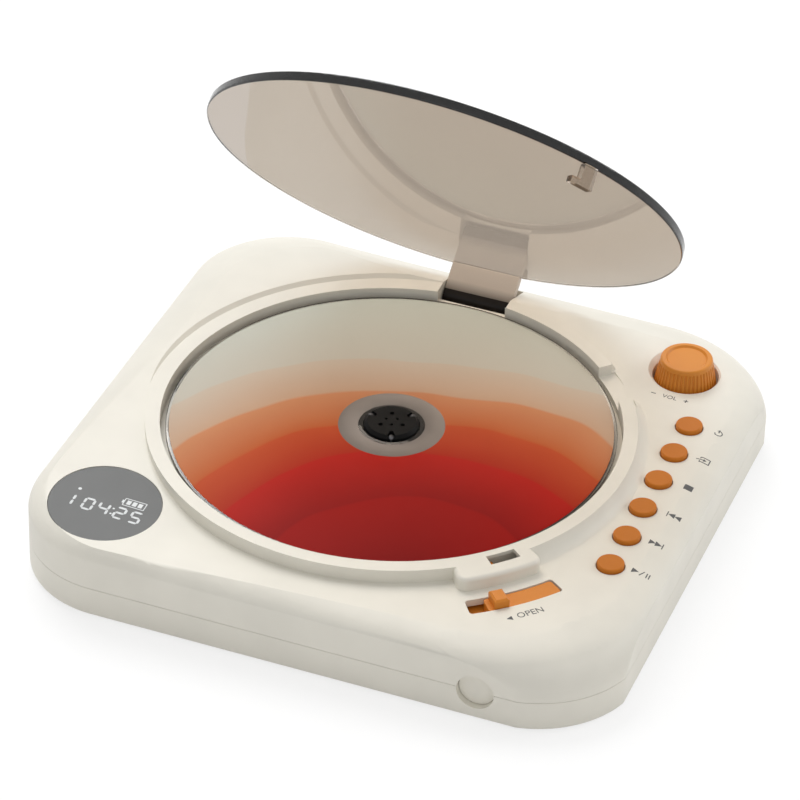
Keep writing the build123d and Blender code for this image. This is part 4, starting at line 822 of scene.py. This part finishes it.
def digit(number, x, y):
    halfWide = (readoutSet["width"] - readoutSet["line"]) / 2
    halfHigh = (readoutSet["height"] - readoutSet["line"]) / 2
    long = readoutSet["width"] - readoutSet["line"] - readoutSet["gap"]
    tall = halfHigh - readoutSet["gap"]
    places = [(0, halfHigh, 0), (-halfWide, halfHigh / 2, 1), (halfWide, halfHigh / 2, 1), (0, 0, 0),
              (-halfWide, -halfHigh / 2, 1), (halfWide, -halfHigh / 2, 1), (0, -halfHigh, 0)]
    return [stroke((x + dx, y + dy), tall if upright else long, upright)
            for (dx, dy, upright), lit in zip(places, strokes[number]) if lit]


def batterySign(x, y):
    wide, high = batterySet["size"]
    line, inset, gap = batterySet["line"], batterySet["inset"], batterySet["gap"]
    step = (wide - 2 * inset) / batterySet["cells"]
    shapes = [
        bar((x, y + high / 2), (wide, line)),
        bar((x, y - high / 2), (wide, line)),
        bar((x + wide / 2, y), (line, high)),
        bar((x - wide / 2, y), (line, high)),
        bar((x - wide / 2 - batterySet["nubAt"], y), (batterySet["nub"], high * batterySet["nubHigh"])),
    ]
    for index in range(batterySet["cells"]):
        cell = x - wide / 2 + inset + step * (index + 0.5)
        shapes.append(bar((cell, y), (step - gap, high - 2 * inset)))
    return shapes


def makeReadout(finishes, carrier):
    across, along = readoutSet["middle"]
    row = along + readoutSet["row"]
    dot, lamp = readoutSet["colonDot"], readoutSet["lampDot"]
    shapes = [shape for place, number in readoutSet["digits"] for shape in digit(number, across + place, row)]
    for side in (-1, 1):
        place = (across + readoutSet["colon"], row + side * readoutSet["colonHalf"])
        shapes.append(flat(readoutSet["colonSides"], place, (dot, dot)))
    place = (across + readoutSet["lamp"][0], along + readoutSet["lamp"][1])
    shapes.append(flat(readoutSet["lampSides"], place, (lamp, lamp)))
    shapes += batterySign(across + batterySet["middle"][0], along + batterySet["middle"][1])
    piece = together("readout", shapes)
    layOn(piece, carrier, readoutSet["thick"], readoutSet["cuts"])
    wear(piece, finishes["readout_white"])
    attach(piece, "case")
    print("readout made")


addCamera()
addFloor()
addLamps()
print("camera, floor and lamps stand")
finishes = makeFinishes()

shown = ["shell_top", "shell_bottom", "display_lens", "jack_cover", "feet", "case_screws",
         "lid_panel", "hinge_arm", "lid_hook", "latch_slider", "latch_keeper",
         "volume_knob", "turntable", "hub_cap", "chuck_balls", "hinge_pin", *keyNames]
# the knob and the keys take the paler and the darker copies of the orange, painted light and painted shade
ownFinish = {"chuck_balls": "dark_screws", "hinge_arm": "smoked_arm_painted_shade", "volume_knob": "orange_knob"}
ownFinish.update({node: "orange_keys" for node in keyNames})
looks = {node: smoothCopy(node, finishes[ownFinish.get(node, slotOf[node])]) for node in shown}
print("smooth copies made:", len(looks))
# what lies inside keeps its solid and takes a finish
for node, carrier in nodes.items():
    if node not in looks:
        wear(carrier, finishes[slotOf[node]])
makeDisc(finishes)
makeMarks(finishes, looks["shell_top"])
makeReadout(finishes, looks["display_lens"])
